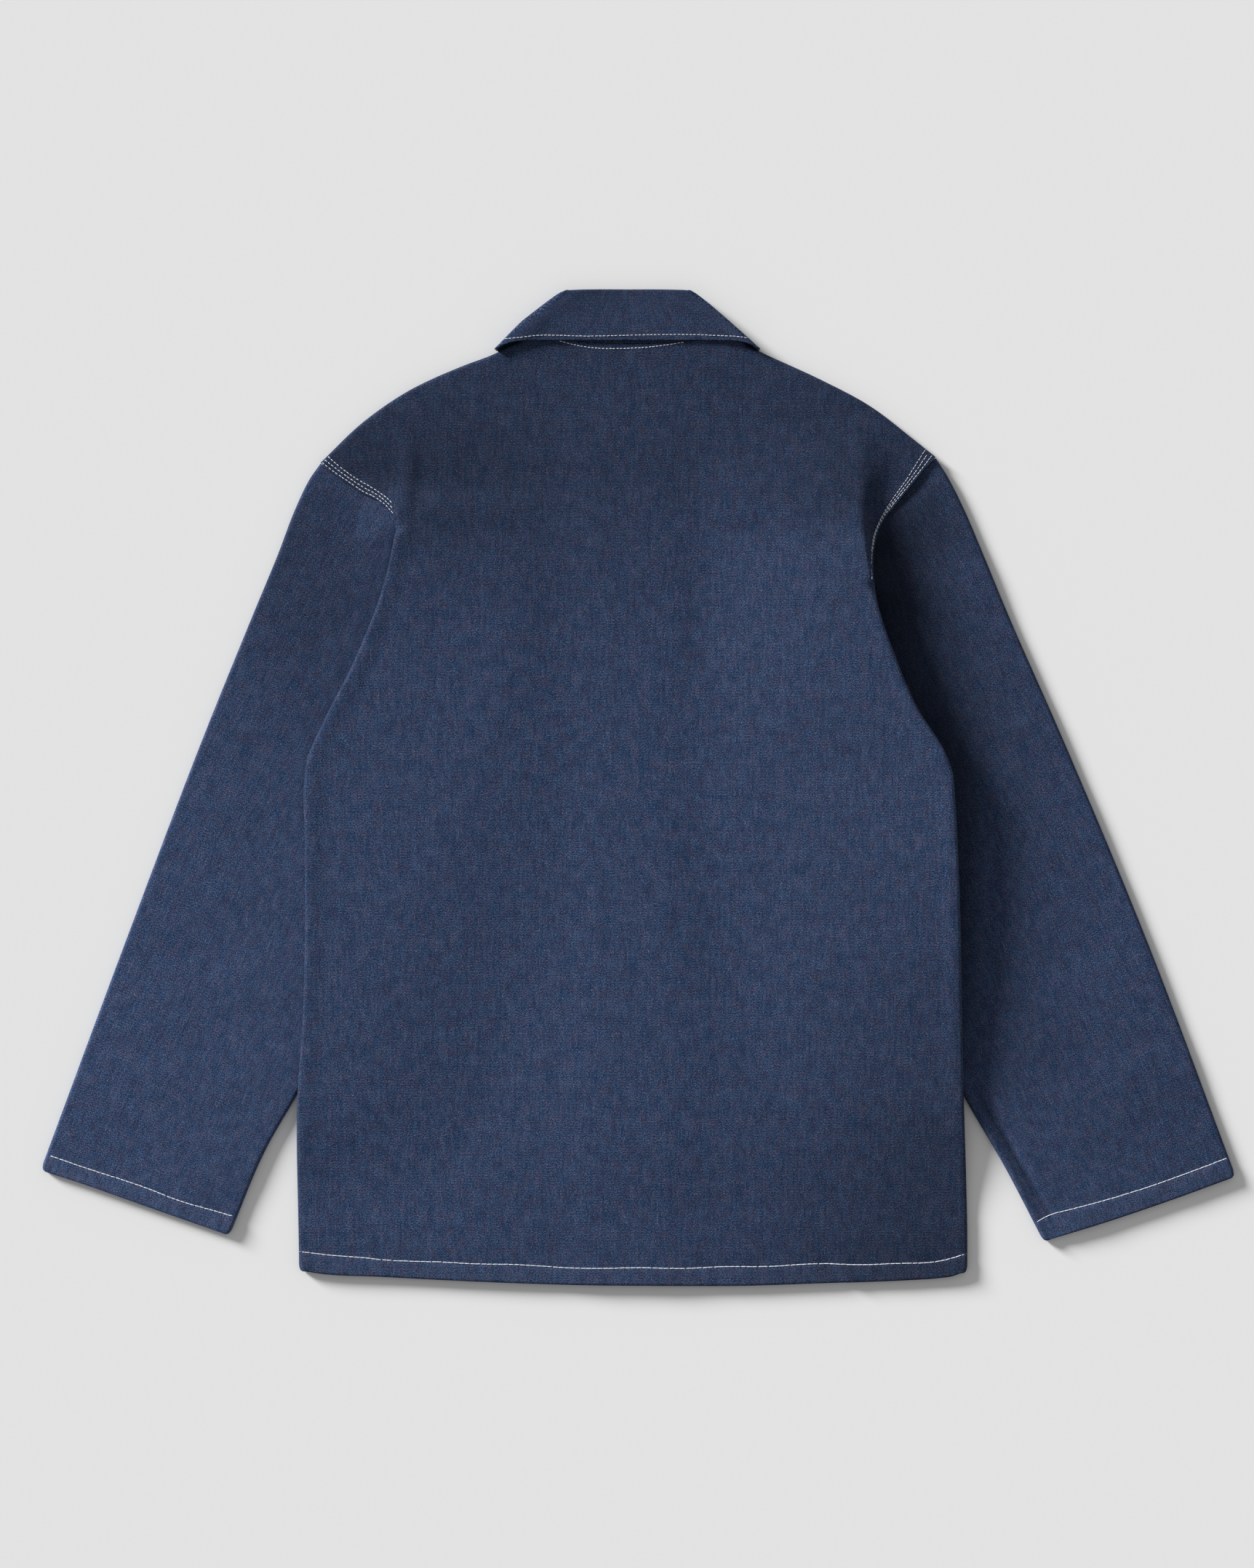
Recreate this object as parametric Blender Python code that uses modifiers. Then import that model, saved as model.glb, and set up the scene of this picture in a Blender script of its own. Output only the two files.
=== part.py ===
"""Chore jacket of raw indigo denim, laid flat on its front with its back up.

All tables are in millimetres. +X is to the viewer's right, +Y to the collar, +Z up from the
surface that the jacket lies on. The body lies over the inner parts of both sleeves, and its
right side stands up off the sleeve in a stiff fold.
"""
import math

import bmesh
import bpy
import numpy as np

MM = 0.001

# Driving sizes
DENIM = 1.2  # one thickness of the cloth
HEM_WALL = 2.0  # the cloth with its pressed turning
COLLAR_WALL = 2.0  # two plies sewn together
COLLAR_FOLD_WALL = 1.2  # the same, pressed at the fold
FLAT = 5.4  # a sleeve or the body lying flat: two walls and the air between them
ROLL = FLAT / 2  # outer radius of a side fold
TAIL = 1.5  # flat strip where a rolled edge meets the next piece
SEAM = 0.4  # gap between pieces that are sewn to each other
CLEAR_OF_ROLL = 1.2  # a front's edge goes in a little sooner than the roll beside it
HEM_DEPTH = 14.0  # turned hem at the bottom and the cuffs
CENTRE = -5.0  # the centre line of the fronts
OVERLAP = 20.0  # how far each front passes the centre line
BUTTON_RADIUS = 8.5
BUTTON_THICK = 1.7
BUTTON_EDGE = 0.4  # its bevelled edge
BUTTON_GAP = 0.15  # from the surface that the jacket lies on
BUTTON_COUNT = 5
BUTTON_TOP = 235.0  # the highest button's height up the front
BUTTON_PITCH = 112.0

# Heights of the folds and layers
COLLAR_LIFT = 2.8  # the collar's front lies under the fronts
PLACKET_LIFT = 2.2  # the buttons lie under the front's edge
INNER_FRONT_STEP = 2.3  # the right front lies on the left one at the overlap
BACK_STEP = 1.3  # the back over that overlap
OVERLAP_RAMP = 46.0
SLEEVE_LIFT = 6.8  # the body rests on the sleeves
SLEEVE_RAMP = 42.0  # how far the body takes to come down from a sleeve
COLLAR_RADIUS = 114.0  # how far the collar's front reaches under the fronts
COLLAR_RAMP = 55.0
PLACKET_HALF = 12.0  # half the width that the buttons hold up
PLACKET_RAMP = 48.0
PLACKET_END = (-345, -285)  # where the front's edge comes down again, near the hem
TENT_REACH = 88.0  # how far in the raised right side reaches
TUCK = 3.0  # the raised side is highest this far inside its edge

# Outline of the body, x and y down each side
SHOULDER_LEFT = ((-85, 354), (-101, 345.5), (-113, 339.5), (-138, 330), (-183, 309), (-216, 286),
                 (-249, 254.5))
SHOULDER_RIGHT = ((76, 352), (95, 341.5), (107, 336), (143, 319.5), (183, 298), (213, 275),
                  (233, 259))
ARMHOLE_LEFT = ((-249, 254.5), (-229, 238.5), (-206, 224.5), (-189, 212))
ARMHOLE_RIGHT = ((233, 259), (216, 237.5), (199, 218), (188, 200), (184, 183), (183.5, 164))
SIDE_LEFT = ((-189, 212), (-189.5, 202), (-198.5, 162), (-221.5, 101), (-249, 46), (-258.5, 24),
             (-261.5, 4), (-261, -39), (-264, -203), (-266, -229), (-266, -377.5))
SIDE_RIGHT = ((183.5, 164), (186, 147), (200, 103.5), (217.5, 62.5), (240, 25.5), (245, 12),
              (247, -8), (249, -44), (254.5, -238), (258, -352), (258, -377.5))
NECK_BACK = ((-85, 354), (-62, 350.5), (-35, 348), (-7, 347), (23, 348), (50, 350), (76, 352))
NECK_FRONT_LEFT = ((-85, 354), (-64, 322), (-38, 298), (-5, 286), (15, 285))
NECK_FRONT_RIGHT = ((76, 352), (54, 320), (28, 297), (-5, 286), (-25, 285))
HEM = ((-266, -377.5), (-196, -383), (-132, -386.5), (-47, -390), (75, -390.5), (185, -387.5),
       (258, -377.5))
HEM_MIDDLE = -390.3  # where both fronts' own edges end

# Outline of the sleeves
SLEEVE_LEFT_OUTER = ((-249, 254.5), (-258, 241), (-269, 218), (-282, 184), (-301, 138), (-338, 47),
                     (-399, -113), (-468.5, -300))
SLEEVE_RIGHT_OUTER = ((233, 259), (244, 241), (255.5, 218), (270, 184), (289, 138), (329, 47),
                      (396, -113), (468.5, -305))
SLEEVE_LEFT_INNER = ((-135, 56), (-207, -105), (-266.5, -239), (-292, -284), (-320.5, -351.5))
SLEEVE_RIGHT_INNER = ((134, 56), (200, -105), (255, -241.5), (287, -297), (318, -356.5))
CUFF_LEFT = ((-468.5, -300), (-438, -310), (-384.5, -329), (-320.5, -351.5))
CUFF_RIGHT = ((468.5, -305), (410, -326.5), (367.5, -341), (318, -356.5))

# Raised right side: y and lift
TENT = ((240, 0), (212, 2.5), (184, 5), (164, 7), (104, 9.5), (12, 12), (-130, 12), (-210, 8),
        (-272, 3.5), (-330, 0))

# Soft folds in the back: x and y at both ends, half width, height
BACK_FOLDS = (
    (-180, 262, -186, 205, 20, 1.6),
    (150, 250, 176, 178, 24, 1.5),
    (-120, 250, -150, 60, 45, -0.8),
    (60, 290, 100, 150, 40, 0.7),
    (-60, 40, -80, -180, 50, 0.8),
    (70, -60, 90, -300, 45, -0.7),
)
# Soft folds across the sleeves: x and y at both ends, half width, height
SLEEVE_LEFT_FOLDS = (
    (-262, 225, -215, 205, 14, -0.8),
    (-330, 60, -250, 20, 26, 0.6),
    (-395, -110, -300, -150, 30, -0.8),
    (-430, -215, -330, -240, 26, 0.6),
)
SLEEVE_RIGHT_FOLDS = (
    (236, 248, 208, 222, 12, -1.0),
    (330, 60, 262, 30, 26, 0.6),
    (390, -100, 300, -150, 30, -0.8),
    (430, -215, 330, -245, 26, 0.6),
)

# Grid of the panels
SHOULDER_COLUMNS = 8
NECK_COLUMNS = 9
ARMHOLE_ROWS = 6
SIDE_ROWS = 15
SLEEVE_ROWS = 20
ROLL_LINES = 5  # lines past a rolled edge
HEM_ROWS = 2
COLLAR_BACK_COLUMNS = 6
COLLAR_FRONT_COLUMNS = 7
CURVE_POINTS = 600  # close points that stand for a smooth curve
SHARP_ANGLE = math.radians(40)  # edges sharper than this stay sharp

# The collar: centre of the back, side and front end of the leaf's edge, the fold and the neck seam
COLLAR_MIDDLE = 5.5  # height of the plane that the collar is folded round
LEAF_REACH = 5.5  # the leaf's outer face from that plane
STAND_REACH = 0.7  # the stand's neck side from that plane
COLLAR_SLANT = (0.644, 0.765)  # the way that its slanted sides face, out and up
COLLAR_FOLD_ROWS = slice(4, 8)
LEAF_EDGE = ((-7, 348), (-113, 343), (-54, 236))
LEAF_EDGE_RIGHT = ((-7, 348), (94, 345), (44, 236))
FOLD_EDGE = ((-7, 391), (-58, 389.5), (-9, 308))
FOLD_EDGE_RIGHT = ((-7, 391), (42, 389.5), (-1, 308))

# Colours, linear RGB, roughness and metallic
INDIGO = (0.034, 0.050, 0.100)
INDIGO_DARK = (0.028, 0.042, 0.088)
BRASS = (0.30, 0.22, 0.12)


def ease(t):
    """0 below 0, 1 above 1 and a soft S between."""
    t = np.clip(t, 0.0, 1.0)
    return t * t * (3 - 2 * t)


def spline(points, count):
    """Evenly spaced points along a smooth curve through the given ones."""
    points = np.array(points, float)
    steps = np.linalg.norm(np.diff(points, axis=0), axis=1)
    along = np.concatenate([[0], np.cumsum(steps)])
    slopes = np.gradient(points, along, axis=0, edge_order=1)
    fine = np.linspace(0, along[-1], CURVE_POINTS)
    k = np.clip(np.searchsorted(along, fine, side="right") - 1, 0, len(steps) - 1)
    h = steps[k][:, None]
    t = ((fine - along[k]) / steps[k])[:, None]
    p = ((2 * t**3 - 3 * t**2 + 1) * points[k] + (t**3 - 2 * t**2 + t) * h * slopes[k]
         + (3 * t**2 - 2 * t**3) * points[k + 1] + (t**3 - t**2) * h * slopes[k + 1])
    travelled = np.concatenate([[0], np.cumsum(np.linalg.norm(np.diff(p, axis=0), axis=1))])
    even = np.linspace(0, travelled[-1], count)
    return np.stack([np.interp(even, travelled, p[:, 0]), np.interp(even, travelled, p[:, 1])], 1)


def outline(*runs):
    """One side of a panel from several curves, each with its count of points, that meet in corners."""
    parts = [spline(points, count) for points, count in runs]
    return np.concatenate([parts[0]] + [p[1:] for p in parts[1:]])


def outward(side, sign):
    """Unit normals in plan along a side that runs down the panel: sign is -1 on the left, +1 on the right."""
    d = np.gradient(side, axis=0)
    d /= np.linalg.norm(d, axis=1)[:, None]
    return np.stack([-d[:, 1], d[:, 0]], 1) * sign


def patch(left, right, top, bottom, rows):
    """Grid of plan points that fills four edge curves. rows gives each row's share of the way down."""
    u = np.linspace(0, 1, len(top))
    v = rows[:, None, None]
    w = u[None, :, None]
    sides = (1 - w) * left[:, None] + w * right[:, None]
    ends = (1 - v) * top[None] + v * bottom[None]
    top_corners = (1 - v) * ((1 - w) * top[0] + w * top[-1])
    bottom_corners = v * ((1 - w) * bottom[0] + w * bottom[-1])
    return sides + ends - top_corners - bottom_corners


def travelled(side):
    """Each point's share of the way along a side."""
    steps = np.concatenate([[0], np.cumsum(np.linalg.norm(np.diff(side, axis=0), axis=1))])
    return steps / steps[-1]


def beyond(x, y, start, end):
    """Distance to the right of the line from start to end."""
    (ax, ay), (bx, by) = start, end
    length = math.hypot(bx - ax, by - ay)
    return ((x - ax) * (by - ay) - (y - ay) * (bx - ax)) / length


def sleeve_lift(x, y, armhole_end, inner, sign, start, full):
    """The body rises where the hidden part of a sleeve lies under it."""
    armpit, apex = inner[0], inner[2]
    over_armhole = beyond(x, y, armhole_end, armpit) * sign
    over_inner = beyond(x, y, armpit, apex) * sign
    away = np.hypot(np.maximum(over_armhole, 0), np.maximum(over_inner, 0)) - 8.0
    return SLEEVE_LIFT * (1 - ease(away / SLEEVE_RAMP)) * ease((start - y) / (start - full))


def ridge(x, y, fold):
    """Height of one soft fold."""
    ax, ay, bx, by, half_width, height = fold
    dx, dy = bx - ax, by - ay
    along = np.clip(((x - ax) * dx + (y - ay) * dy) / (dx * dx + dy * dy), 0, 1)
    off = np.hypot(x - ax - along * dx, y - ay - along * dy)
    return height * (1 - ease(off / half_width))


def lift(x, y):
    """Height of the fronts' outer face above the surface that the jacket lies on."""
    left = sleeve_lift(x, y, ARMHOLE_LEFT[-1], SLEEVE_LEFT_INNER, -1, 252, 212)
    right = sleeve_lift(x, y, ARMHOLE_RIGHT[-1], SLEEVE_RIGHT_INNER, 1, 228, 168)
    collar = COLLAR_LIFT * (1 - ease((np.hypot(x - CENTRE, y - 320) - COLLAR_RADIUS) / COLLAR_RAMP))
    low, full = PLACKET_END
    placket = PLACKET_LIFT * (1 - ease((np.abs(x - CENTRE) - PLACKET_HALF) / PLACKET_RAMP))
    placket = placket * ease((y - low) / (full - low))
    layers = (left**4 + right**4 + collar**4 + placket**4) ** 0.25
    heights = np.array(TENT[::-1], float)
    tent = np.interp(y, heights[:, 0], heights[:, 1])
    side = np.array(SIDE_RIGHT[::-1] + ((178, 205), (174, 240)), float)
    edge = np.interp(y, side[:, 1], side[:, 0])
    return layers + tent * (1 - ease((edge - TUCK - x) / TENT_REACH))


def overlap(x):
    """1 where both fronts lie on each other, 0 well away from there."""
    return 1 - ease((np.abs(x - CENTRE) - OVERLAP - 2) / OVERLAP_RAMP)


def solid(name, points, walls, material, closed=False):
    """A cloth wall: rows of points are lofted to its outer face, and each point's wall goes inwards."""
    rows, columns = points.shape[:2]
    vertices = [tuple(p * MM) for p in points.reshape(-1, 3)]
    faces = []
    for start in range(0, (rows - 1) * columns, columns):
        for j in range(columns if closed else columns - 1):
            after = (j + 1) % columns
            faces.append((start + j, start + after, start + columns + after, start + columns + j))
    mesh = bpy.data.meshes.new(name)
    mesh.from_pydata(vertices, [], faces)
    mesh.shade_smooth()
    mesh.set_sharp_from_angle(angle=SHARP_ANGLE)
    mesh.materials.append(material)
    obj = bpy.data.objects.new(name, mesh)
    JACKET.objects.link(obj)
    group = obj.vertex_groups.new(name="wall")
    walls = np.broadcast_to(walls, (rows, columns)).ravel()
    for index, wall in enumerate(walls):
        group.add([index], float(wall / walls.max()), "REPLACE")
    thick = obj.modifiers.new("wall", "SOLIDIFY")
    thick.thickness = float(walls.max()) * MM
    thick.vertex_group = "wall"
    thick.offset = -1
    thick.use_even_offset = True
    return obj


def hemmed(rows):
    """Wall thickness down a panel whose last rows are its hem."""
    walls = np.full((rows, 1), DENIM)
    walls[-HEM_ROWS:] = HEM_WALL
    return walls


def inward_roll(axis, normals, heights, rolls):
    """Lines of points past a panel's edge: flat where the roll is 0, half round underneath where it is 1."""
    lines = []
    flat = (1 - rolls) ** 4
    for share in np.arange(1, ROLL_LINES) / (ROLL_LINES - 1):
        turn = math.pi * share * rolls
        out = flat * share * (ROLL - TAIL) + ROLL * np.sin(turn)
        drop = ROLL * (1 - np.cos(turn))
        lines.append(np.column_stack([axis + normals * out[:, None], heights - drop]))
    out = out + TAIL * np.cos(turn)
    drop = drop + TAIL * np.sin(turn)
    lines.append(np.column_stack([axis + normals * out[:, None], heights - drop]))
    return lines


def meet(curve, start, end):
    """The curve, eased so that its ends come to start and end."""
    share = np.linspace(0, 1, len(curve))[:, None]
    return curve + (start - curve[0]) * (1 - share) ** 2 + (end - curve[-1]) * share**2


def body_side(armhole, side):
    """One side of the body from the shoulder point to the hem, with the hem's own depth as the last row."""
    points = outline((armhole, ARMHOLE_ROWS), (side, SIDE_ROWS))
    return np.vstack([points[:-1], points[-1] + np.array([0, HEM_DEPTH]), points[-1]])


def side_rolls():
    """1 where the back rolls round to a front, 0 where it is sewn to a sleeve, by row."""
    down_side = np.ones(SIDE_ROWS)
    down_side[:2] = (0.45, 0.9)
    return np.concatenate([np.zeros(ARMHOLE_ROWS), down_side])


def shoulder_rolls():
    """The same along a shoulder, from the neck to the sleeve, by column."""
    rolls = np.ones(SHOULDER_COLUMNS)
    rolls[:2] = (0.0, 0.6)
    rolls[-2:] = (0.6, 0.0)
    return rolls


def back(material):
    """The back, with its shoulders and both sides rolled round towards the fronts."""
    left, right = body_side(ARMHOLE_LEFT, SIDE_LEFT), body_side(ARMHOLE_RIGHT, SIDE_RIGHT)
    shoulders = [(points, SHOULDER_COLUMNS) for points in (SHOULDER_LEFT[::-1], SHOULDER_RIGHT)]
    top = outline(shoulders[0], (NECK_BACK, NECK_COLUMNS), shoulders[1])
    shoulder = shoulder_rolls()
    top_rolls = np.concatenate([shoulder[::-1], np.zeros(NECK_COLUMNS - 2), shoulder])
    rolls = side_rolls()
    left_normal, right_normal, top_normal = outward(left, -1), outward(right, 1), outward(top, 1)
    left_axis, right_axis = left - left_normal * ROLL, right - right_normal * ROLL
    top_axis = top - top_normal * ROLL
    left_axis[0] -= top_normal[0] * ROLL
    right_axis[0] -= top_normal[-1] * ROLL
    top_axis[0], top_axis[-1] = left_axis[0], right_axis[0]
    bottom = meet(spline(HEM, len(top)), left_axis[-1], right_axis[-1])
    plan = patch(left_axis, right_axis, top_axis, bottom, (travelled(left) + travelled(right)) / 2)
    x, y = plan[..., 0], plan[..., 1]
    z = lift(x, y) + FLAT + BACK_STEP * overlap(x) * ease((332 - y) / 60)
    z += sum(ridge(x, y, fold) for fold in BACK_FOLDS)
    middle = np.dstack([plan, z])
    left_lines = inward_roll(left_axis, left_normal, z[:, 0], rolls)
    right_lines = inward_roll(right_axis, right_normal, z[:, -1], rolls)
    body = np.concatenate([np.stack(left_lines[::-1], 1), middle, np.stack(right_lines, 1)], 1)
    tops = []
    for line in inward_roll(top_axis, top_normal, z[0], top_rolls):
        shift = line - middle[0]
        run = [body[0, :ROLL_LINES] + shift[0], line, body[0, -ROLL_LINES:] + shift[-1]]
        tops.append(np.concatenate(run))
    skin = np.concatenate([np.stack(tops[::-1]), body])
    return solid("back", skin[:, ::-1], hemmed(len(skin)), material)


def front(name, sign, shoulder, armhole, side, neck, material):
    """One front: from the shoulder, armhole and side to its own edge past the centre line."""
    outer = body_side(armhole, side)
    rolls = side_rolls()
    inset = SEAM + (ROLL + TAIL) * np.minimum(1, rolls * CLEAR_OF_ROLL)
    outer = outer - outward(outer, sign) * inset[:, None]
    shoulder = spline(shoulder[::-1], SHOULDER_COLUMNS)
    inset = SEAM + (ROLL + TAIL) * np.minimum(1, shoulder_rolls()[::-1] * CLEAR_OF_ROLL)
    shoulder = shoulder - outward(shoulder, -sign) * inset[:, None]
    neck = spline(neck, NECK_COLUMNS)
    neck = neck + (shoulder[-1] - neck[0]) * np.linspace(1, 0, NECK_COLUMNS)[:, None]
    top = np.vstack([shoulder, neck[1:]])
    top[0] = outer[0]
    edge_x = CENTRE - sign * OVERLAP
    own_hem = (p for p in HEM[1:-1] if (p[0] - edge_x) * sign > OVERLAP)
    own_hem = sorted(own_hem, key=lambda p: -abs(p[0] - CENTRE))
    bottom = spline([outer[-1], *own_hem, (edge_x, HEM_MIDDLE)], len(top))
    rows = travelled(outer)
    edge = np.column_stack([np.full(len(rows), edge_x), top[-1, 1] + (bottom[-1, 1] - top[-1, 1]) * rows])
    plan = patch(outer, edge, top, bottom, rows)
    x, y = plan[..., 0], plan[..., 1]
    z = lift(x, y)
    if sign > 0:
        z = z + INNER_FRONT_STEP * overlap(x)
    skin = np.dstack([plan, z])
    return solid(name, skin if sign < 0 else skin[:, ::-1], hemmed(len(skin)), material)


def inset_ends(curve):
    """A curve that stops one roll short of its ends, and the directions from there to the ends."""
    steps = np.linalg.norm(np.diff(curve, axis=0), axis=1)
    along = np.concatenate([[0], np.cumsum(steps)])
    kept = np.linspace(ROLL, along[-1] - ROLL, len(curve))
    inner = np.column_stack([np.interp(kept, along, curve[:, k]) for k in (0, 1)])
    first, last = curve[0] - inner[0], curve[-1] - inner[-1]
    return inner, first / np.linalg.norm(first), last / np.linalg.norm(last)


def sleeve(name, sign, outer, inner, cuff, armhole, folds, material):
    """A sleeve: a flattened tube from the armhole to the cuff, open at both ends."""
    seam = spline(armhole, ARMHOLE_ROWS)
    seam = seam + outward(seam, sign) * SEAM
    head, *head_ends = inset_ends(np.vstack([seam, spline((seam[-1], inner[0]), 6)[1:]]))
    end, *cuff_ends = inset_ends(spline(cuff, len(head)))
    sides = []
    for k, (points, direction) in enumerate(((outer, sign), (inner, -sign))):
        points = spline(points, SLEEVE_ROWS)
        last = points[-2] - points[-1]
        points = np.vstack([points[:-1], points[-1] + last * HEM_DEPTH / np.linalg.norm(last), points[-1]])
        normal = outward(points, direction)
        axis = points - normal * ROLL
        axis[0], axis[-1] = head[-k], end[-k]
        normal[0], normal[-1] = head_ends[k], cuff_ends[k]
        sides.append((axis, normal))
    (outer_axis, outer_normal), (inner_axis, inner_normal) = sides
    plan = patch(outer_axis, inner_axis, head, end, (travelled(outer_axis) + travelled(inner_axis)) / 2)
    x, y = plan[..., 0], plan[..., 1]
    columns = np.arange(len(head))
    off_edge = ease(np.minimum(columns, columns[::-1]) / 2.0)
    top = FLAT + sum(ridge(x, y, fold) for fold in folds) * off_edge
    whole = np.ones(len(plan))
    flat = np.dstack([plan, np.zeros_like(x)])
    upper = np.dstack([plan, top])
    inner_turn = np.stack(inward_roll(inner_axis, inner_normal, top[:, -1], whole)[:3], 1)
    outer_turn = np.stack(inward_roll(outer_axis, outer_normal, top[:, 0], whole)[:3], 1)
    skin = np.concatenate([upper, inner_turn, flat[:, ::-1], outer_turn[:, ::-1]], 1)
    return solid(name, skin[:, ::-1] if sign < 0 else skin, hemmed(len(skin)), material, closed=True)


def collar_half(leaf, fold, seam_back, seam_front, sign):
    """Half of the collar's outer face, from the centre of the back round the neck to the front end."""
    fold_radius = (LEAF_REACH - STAND_REACH) / 2
    side_normal = np.array([COLLAR_SLANT[0] * sign, COLLAR_SLANT[1]])
    leaf, fold = np.array(leaf, float), np.array(fold, float)
    leaf[1] -= side_normal * LEAF_REACH
    fold[1] -= side_normal * (LEAF_REACH + STAND_REACH) / 2

    def line(points):
        behind = np.linspace(points[0], points[1], COLLAR_BACK_COLUMNS)
        return np.vstack([behind, np.linspace(points[1], points[2], COLLAR_FRONT_COLUMNS)])

    edge, tip = line(leaf), line(fold)
    down = (edge - tip) / np.linalg.norm(edge - tip, axis=1)[:, None]
    inside = tip + down * fold_radius
    seam_front = spline(seam_front, COLLAR_FRONT_COLUMNS) + np.array([0.6 * -sign, 1.0]) * 2 * SEAM
    seam = np.vstack([spline(seam_back, COLLAR_BACK_COLUMNS) + np.array([0, SEAM]), seam_front])
    corner = COLLAR_BACK_COLUMNS - 1
    seam[corner + 1] = seam[corner]
    rings = [(edge + (inside - edge) * q, LEAF_REACH) for q in (0, 0.3, 0.65, 1.0)]
    for step in range(1, 5):
        turn = math.pi * step / 5
        reach = (LEAF_REACH + STAND_REACH) / 2 + fold_radius * math.cos(turn)
        rings.append((inside - down * fold_radius * math.sin(turn), reach))
    rings += [(inside + (seam - inside) * q, STAND_REACH) for q in (0, 0.5, 1.0)]
    lines = []
    for plan, reach in rings:
        above = [(*p, COLLAR_MIDDLE + reach) for p in plan[:corner + 1]]
        round_side = []
        for turn in (math.pi / 4, math.pi / 2, math.pi * 3 / 4):
            beside = plan[corner] + side_normal * reach * math.sin(turn)
            round_side.append((*beside, COLLAR_MIDDLE + reach * math.cos(turn)))
        below = [(*p, COLLAR_MIDDLE - reach) for p in plan[corner + 1:]]
        lines.append(above + round_side + below)
    return np.array(lines, float)


def collar(material):
    """The collar, one strip folded along its length, round the back of the neck to both front ends."""
    middle = NECK_BACK.index((-7, 347))
    left_front = (*NECK_FRONT_LEFT[:3], (-8, 286.3))
    right_front = (*NECK_FRONT_RIGHT[:3], (-2, 286.3))
    left = collar_half(LEAF_EDGE, FOLD_EDGE, NECK_BACK[middle::-1], left_front, -1)
    right = collar_half(LEAF_EDGE_RIGHT, FOLD_EDGE_RIGHT, NECK_BACK[middle:], right_front, 1)
    skin = np.concatenate([left[:, ::-1], right[:, 1:]], 1)
    walls = np.full((len(skin), 1), COLLAR_WALL)
    walls[COLLAR_FOLD_ROWS] = COLLAR_FOLD_WALL
    return solid("collar", skin, walls, material)


def button(name, height, material):
    """A plain sewn button, flat side to the surface, with a soft edge."""
    mesh = bpy.data.meshes.new(name)
    form = bmesh.new()
    radius = BUTTON_RADIUS * MM
    bmesh.ops.create_cone(form, cap_ends=True, segments=20, radius1=radius, radius2=radius,
                          depth=BUTTON_THICK * MM)
    form.to_mesh(mesh)
    form.free()
    obj = bpy.data.objects.new(name, mesh)
    JACKET.objects.link(obj)
    obj.location = (CENTRE * MM, height * MM, (BUTTON_THICK / 2 + BUTTON_GAP) * MM)
    obj.data.materials.append(material)
    edge = obj.modifiers.new("edge", "BEVEL")
    edge.width = BUTTON_EDGE * MM
    edge.segments = 1
    edge.limit_method = "ANGLE"
    return obj


def cloth(name, colour):
    """A plain dull cloth material."""
    material = bpy.data.materials.new(name)
    material.use_nodes = True
    shader = material.node_tree.nodes["Principled BSDF"]
    shader.inputs["Base Color"].default_value = (*colour, 1)
    shader.inputs["Roughness"].default_value = 0.88
    return material


for old in list(bpy.data.objects):
    bpy.data.objects.remove(old)
JACKET = bpy.data.collections.new("chore_jacket")
bpy.context.scene.collection.children.link(JACKET)

back(cloth("back_denim", INDIGO))
front("front_left", -1, SHOULDER_LEFT, ARMHOLE_LEFT, SIDE_LEFT, NECK_FRONT_LEFT,
      cloth("front_left_denim", INDIGO_DARK))
front("front_right", 1, SHOULDER_RIGHT, ARMHOLE_RIGHT, SIDE_RIGHT, NECK_FRONT_RIGHT,
      cloth("front_right_denim", INDIGO_DARK))
sleeve("sleeve_left", -1, SLEEVE_LEFT_OUTER, SLEEVE_LEFT_INNER, CUFF_LEFT, ARMHOLE_LEFT,
       SLEEVE_LEFT_FOLDS, cloth("sleeve_left_denim", INDIGO))
sleeve("sleeve_right", 1, SLEEVE_RIGHT_OUTER, SLEEVE_RIGHT_INNER, CUFF_RIGHT, ARMHOLE_RIGHT,
       SLEEVE_RIGHT_FOLDS, cloth("sleeve_right_denim", INDIGO))
collar(cloth("collar_denim", INDIGO))
metal = cloth("button_metal", BRASS)
metal.node_tree.nodes["Principled BSDF"].inputs["Metallic"].default_value = 1.0
for number in range(BUTTON_COUNT):
    button(f"button_{number + 1}", BUTTON_TOP - number * BUTTON_PITCH, metal)
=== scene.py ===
# %% [markdown]
# # Chore jacket of raw indigo denim, laid flat on its front
#
# A chore jacket is a short work jacket: a straight back, two fronts that button down the middle,
# set-in sleeves and a plain turned-down collar. This one lies on its front with its back up, as a
# shop lays a jacket out to show its cut. Each step below makes one piece of it, as a thin shell of
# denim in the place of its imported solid. Then the seams are sewn with thread.
#
# All tables are in millimetres and all meshes in metres. +X is to the right sleeve, +Y to the
# collar and +Z up from the surface that the jacket lies on.

import math

import bpy
import numpy as np
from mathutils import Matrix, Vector
from mathutils.bvhtree import BVHTree


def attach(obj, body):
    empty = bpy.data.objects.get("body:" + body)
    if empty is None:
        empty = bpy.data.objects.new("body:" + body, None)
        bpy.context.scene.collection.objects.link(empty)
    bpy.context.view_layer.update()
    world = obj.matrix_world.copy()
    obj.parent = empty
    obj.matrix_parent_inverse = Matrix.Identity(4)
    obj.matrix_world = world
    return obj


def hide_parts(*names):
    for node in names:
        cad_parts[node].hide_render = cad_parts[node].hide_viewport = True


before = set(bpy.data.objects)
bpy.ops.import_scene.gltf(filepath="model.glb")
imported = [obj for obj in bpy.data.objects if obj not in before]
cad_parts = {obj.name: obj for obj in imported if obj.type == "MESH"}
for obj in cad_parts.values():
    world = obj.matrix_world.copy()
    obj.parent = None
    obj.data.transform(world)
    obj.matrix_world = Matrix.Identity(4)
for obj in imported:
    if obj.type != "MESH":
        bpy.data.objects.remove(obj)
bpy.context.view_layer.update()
MM = 0.001
print("nodes:", ", ".join(sorted(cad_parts)))

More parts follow.
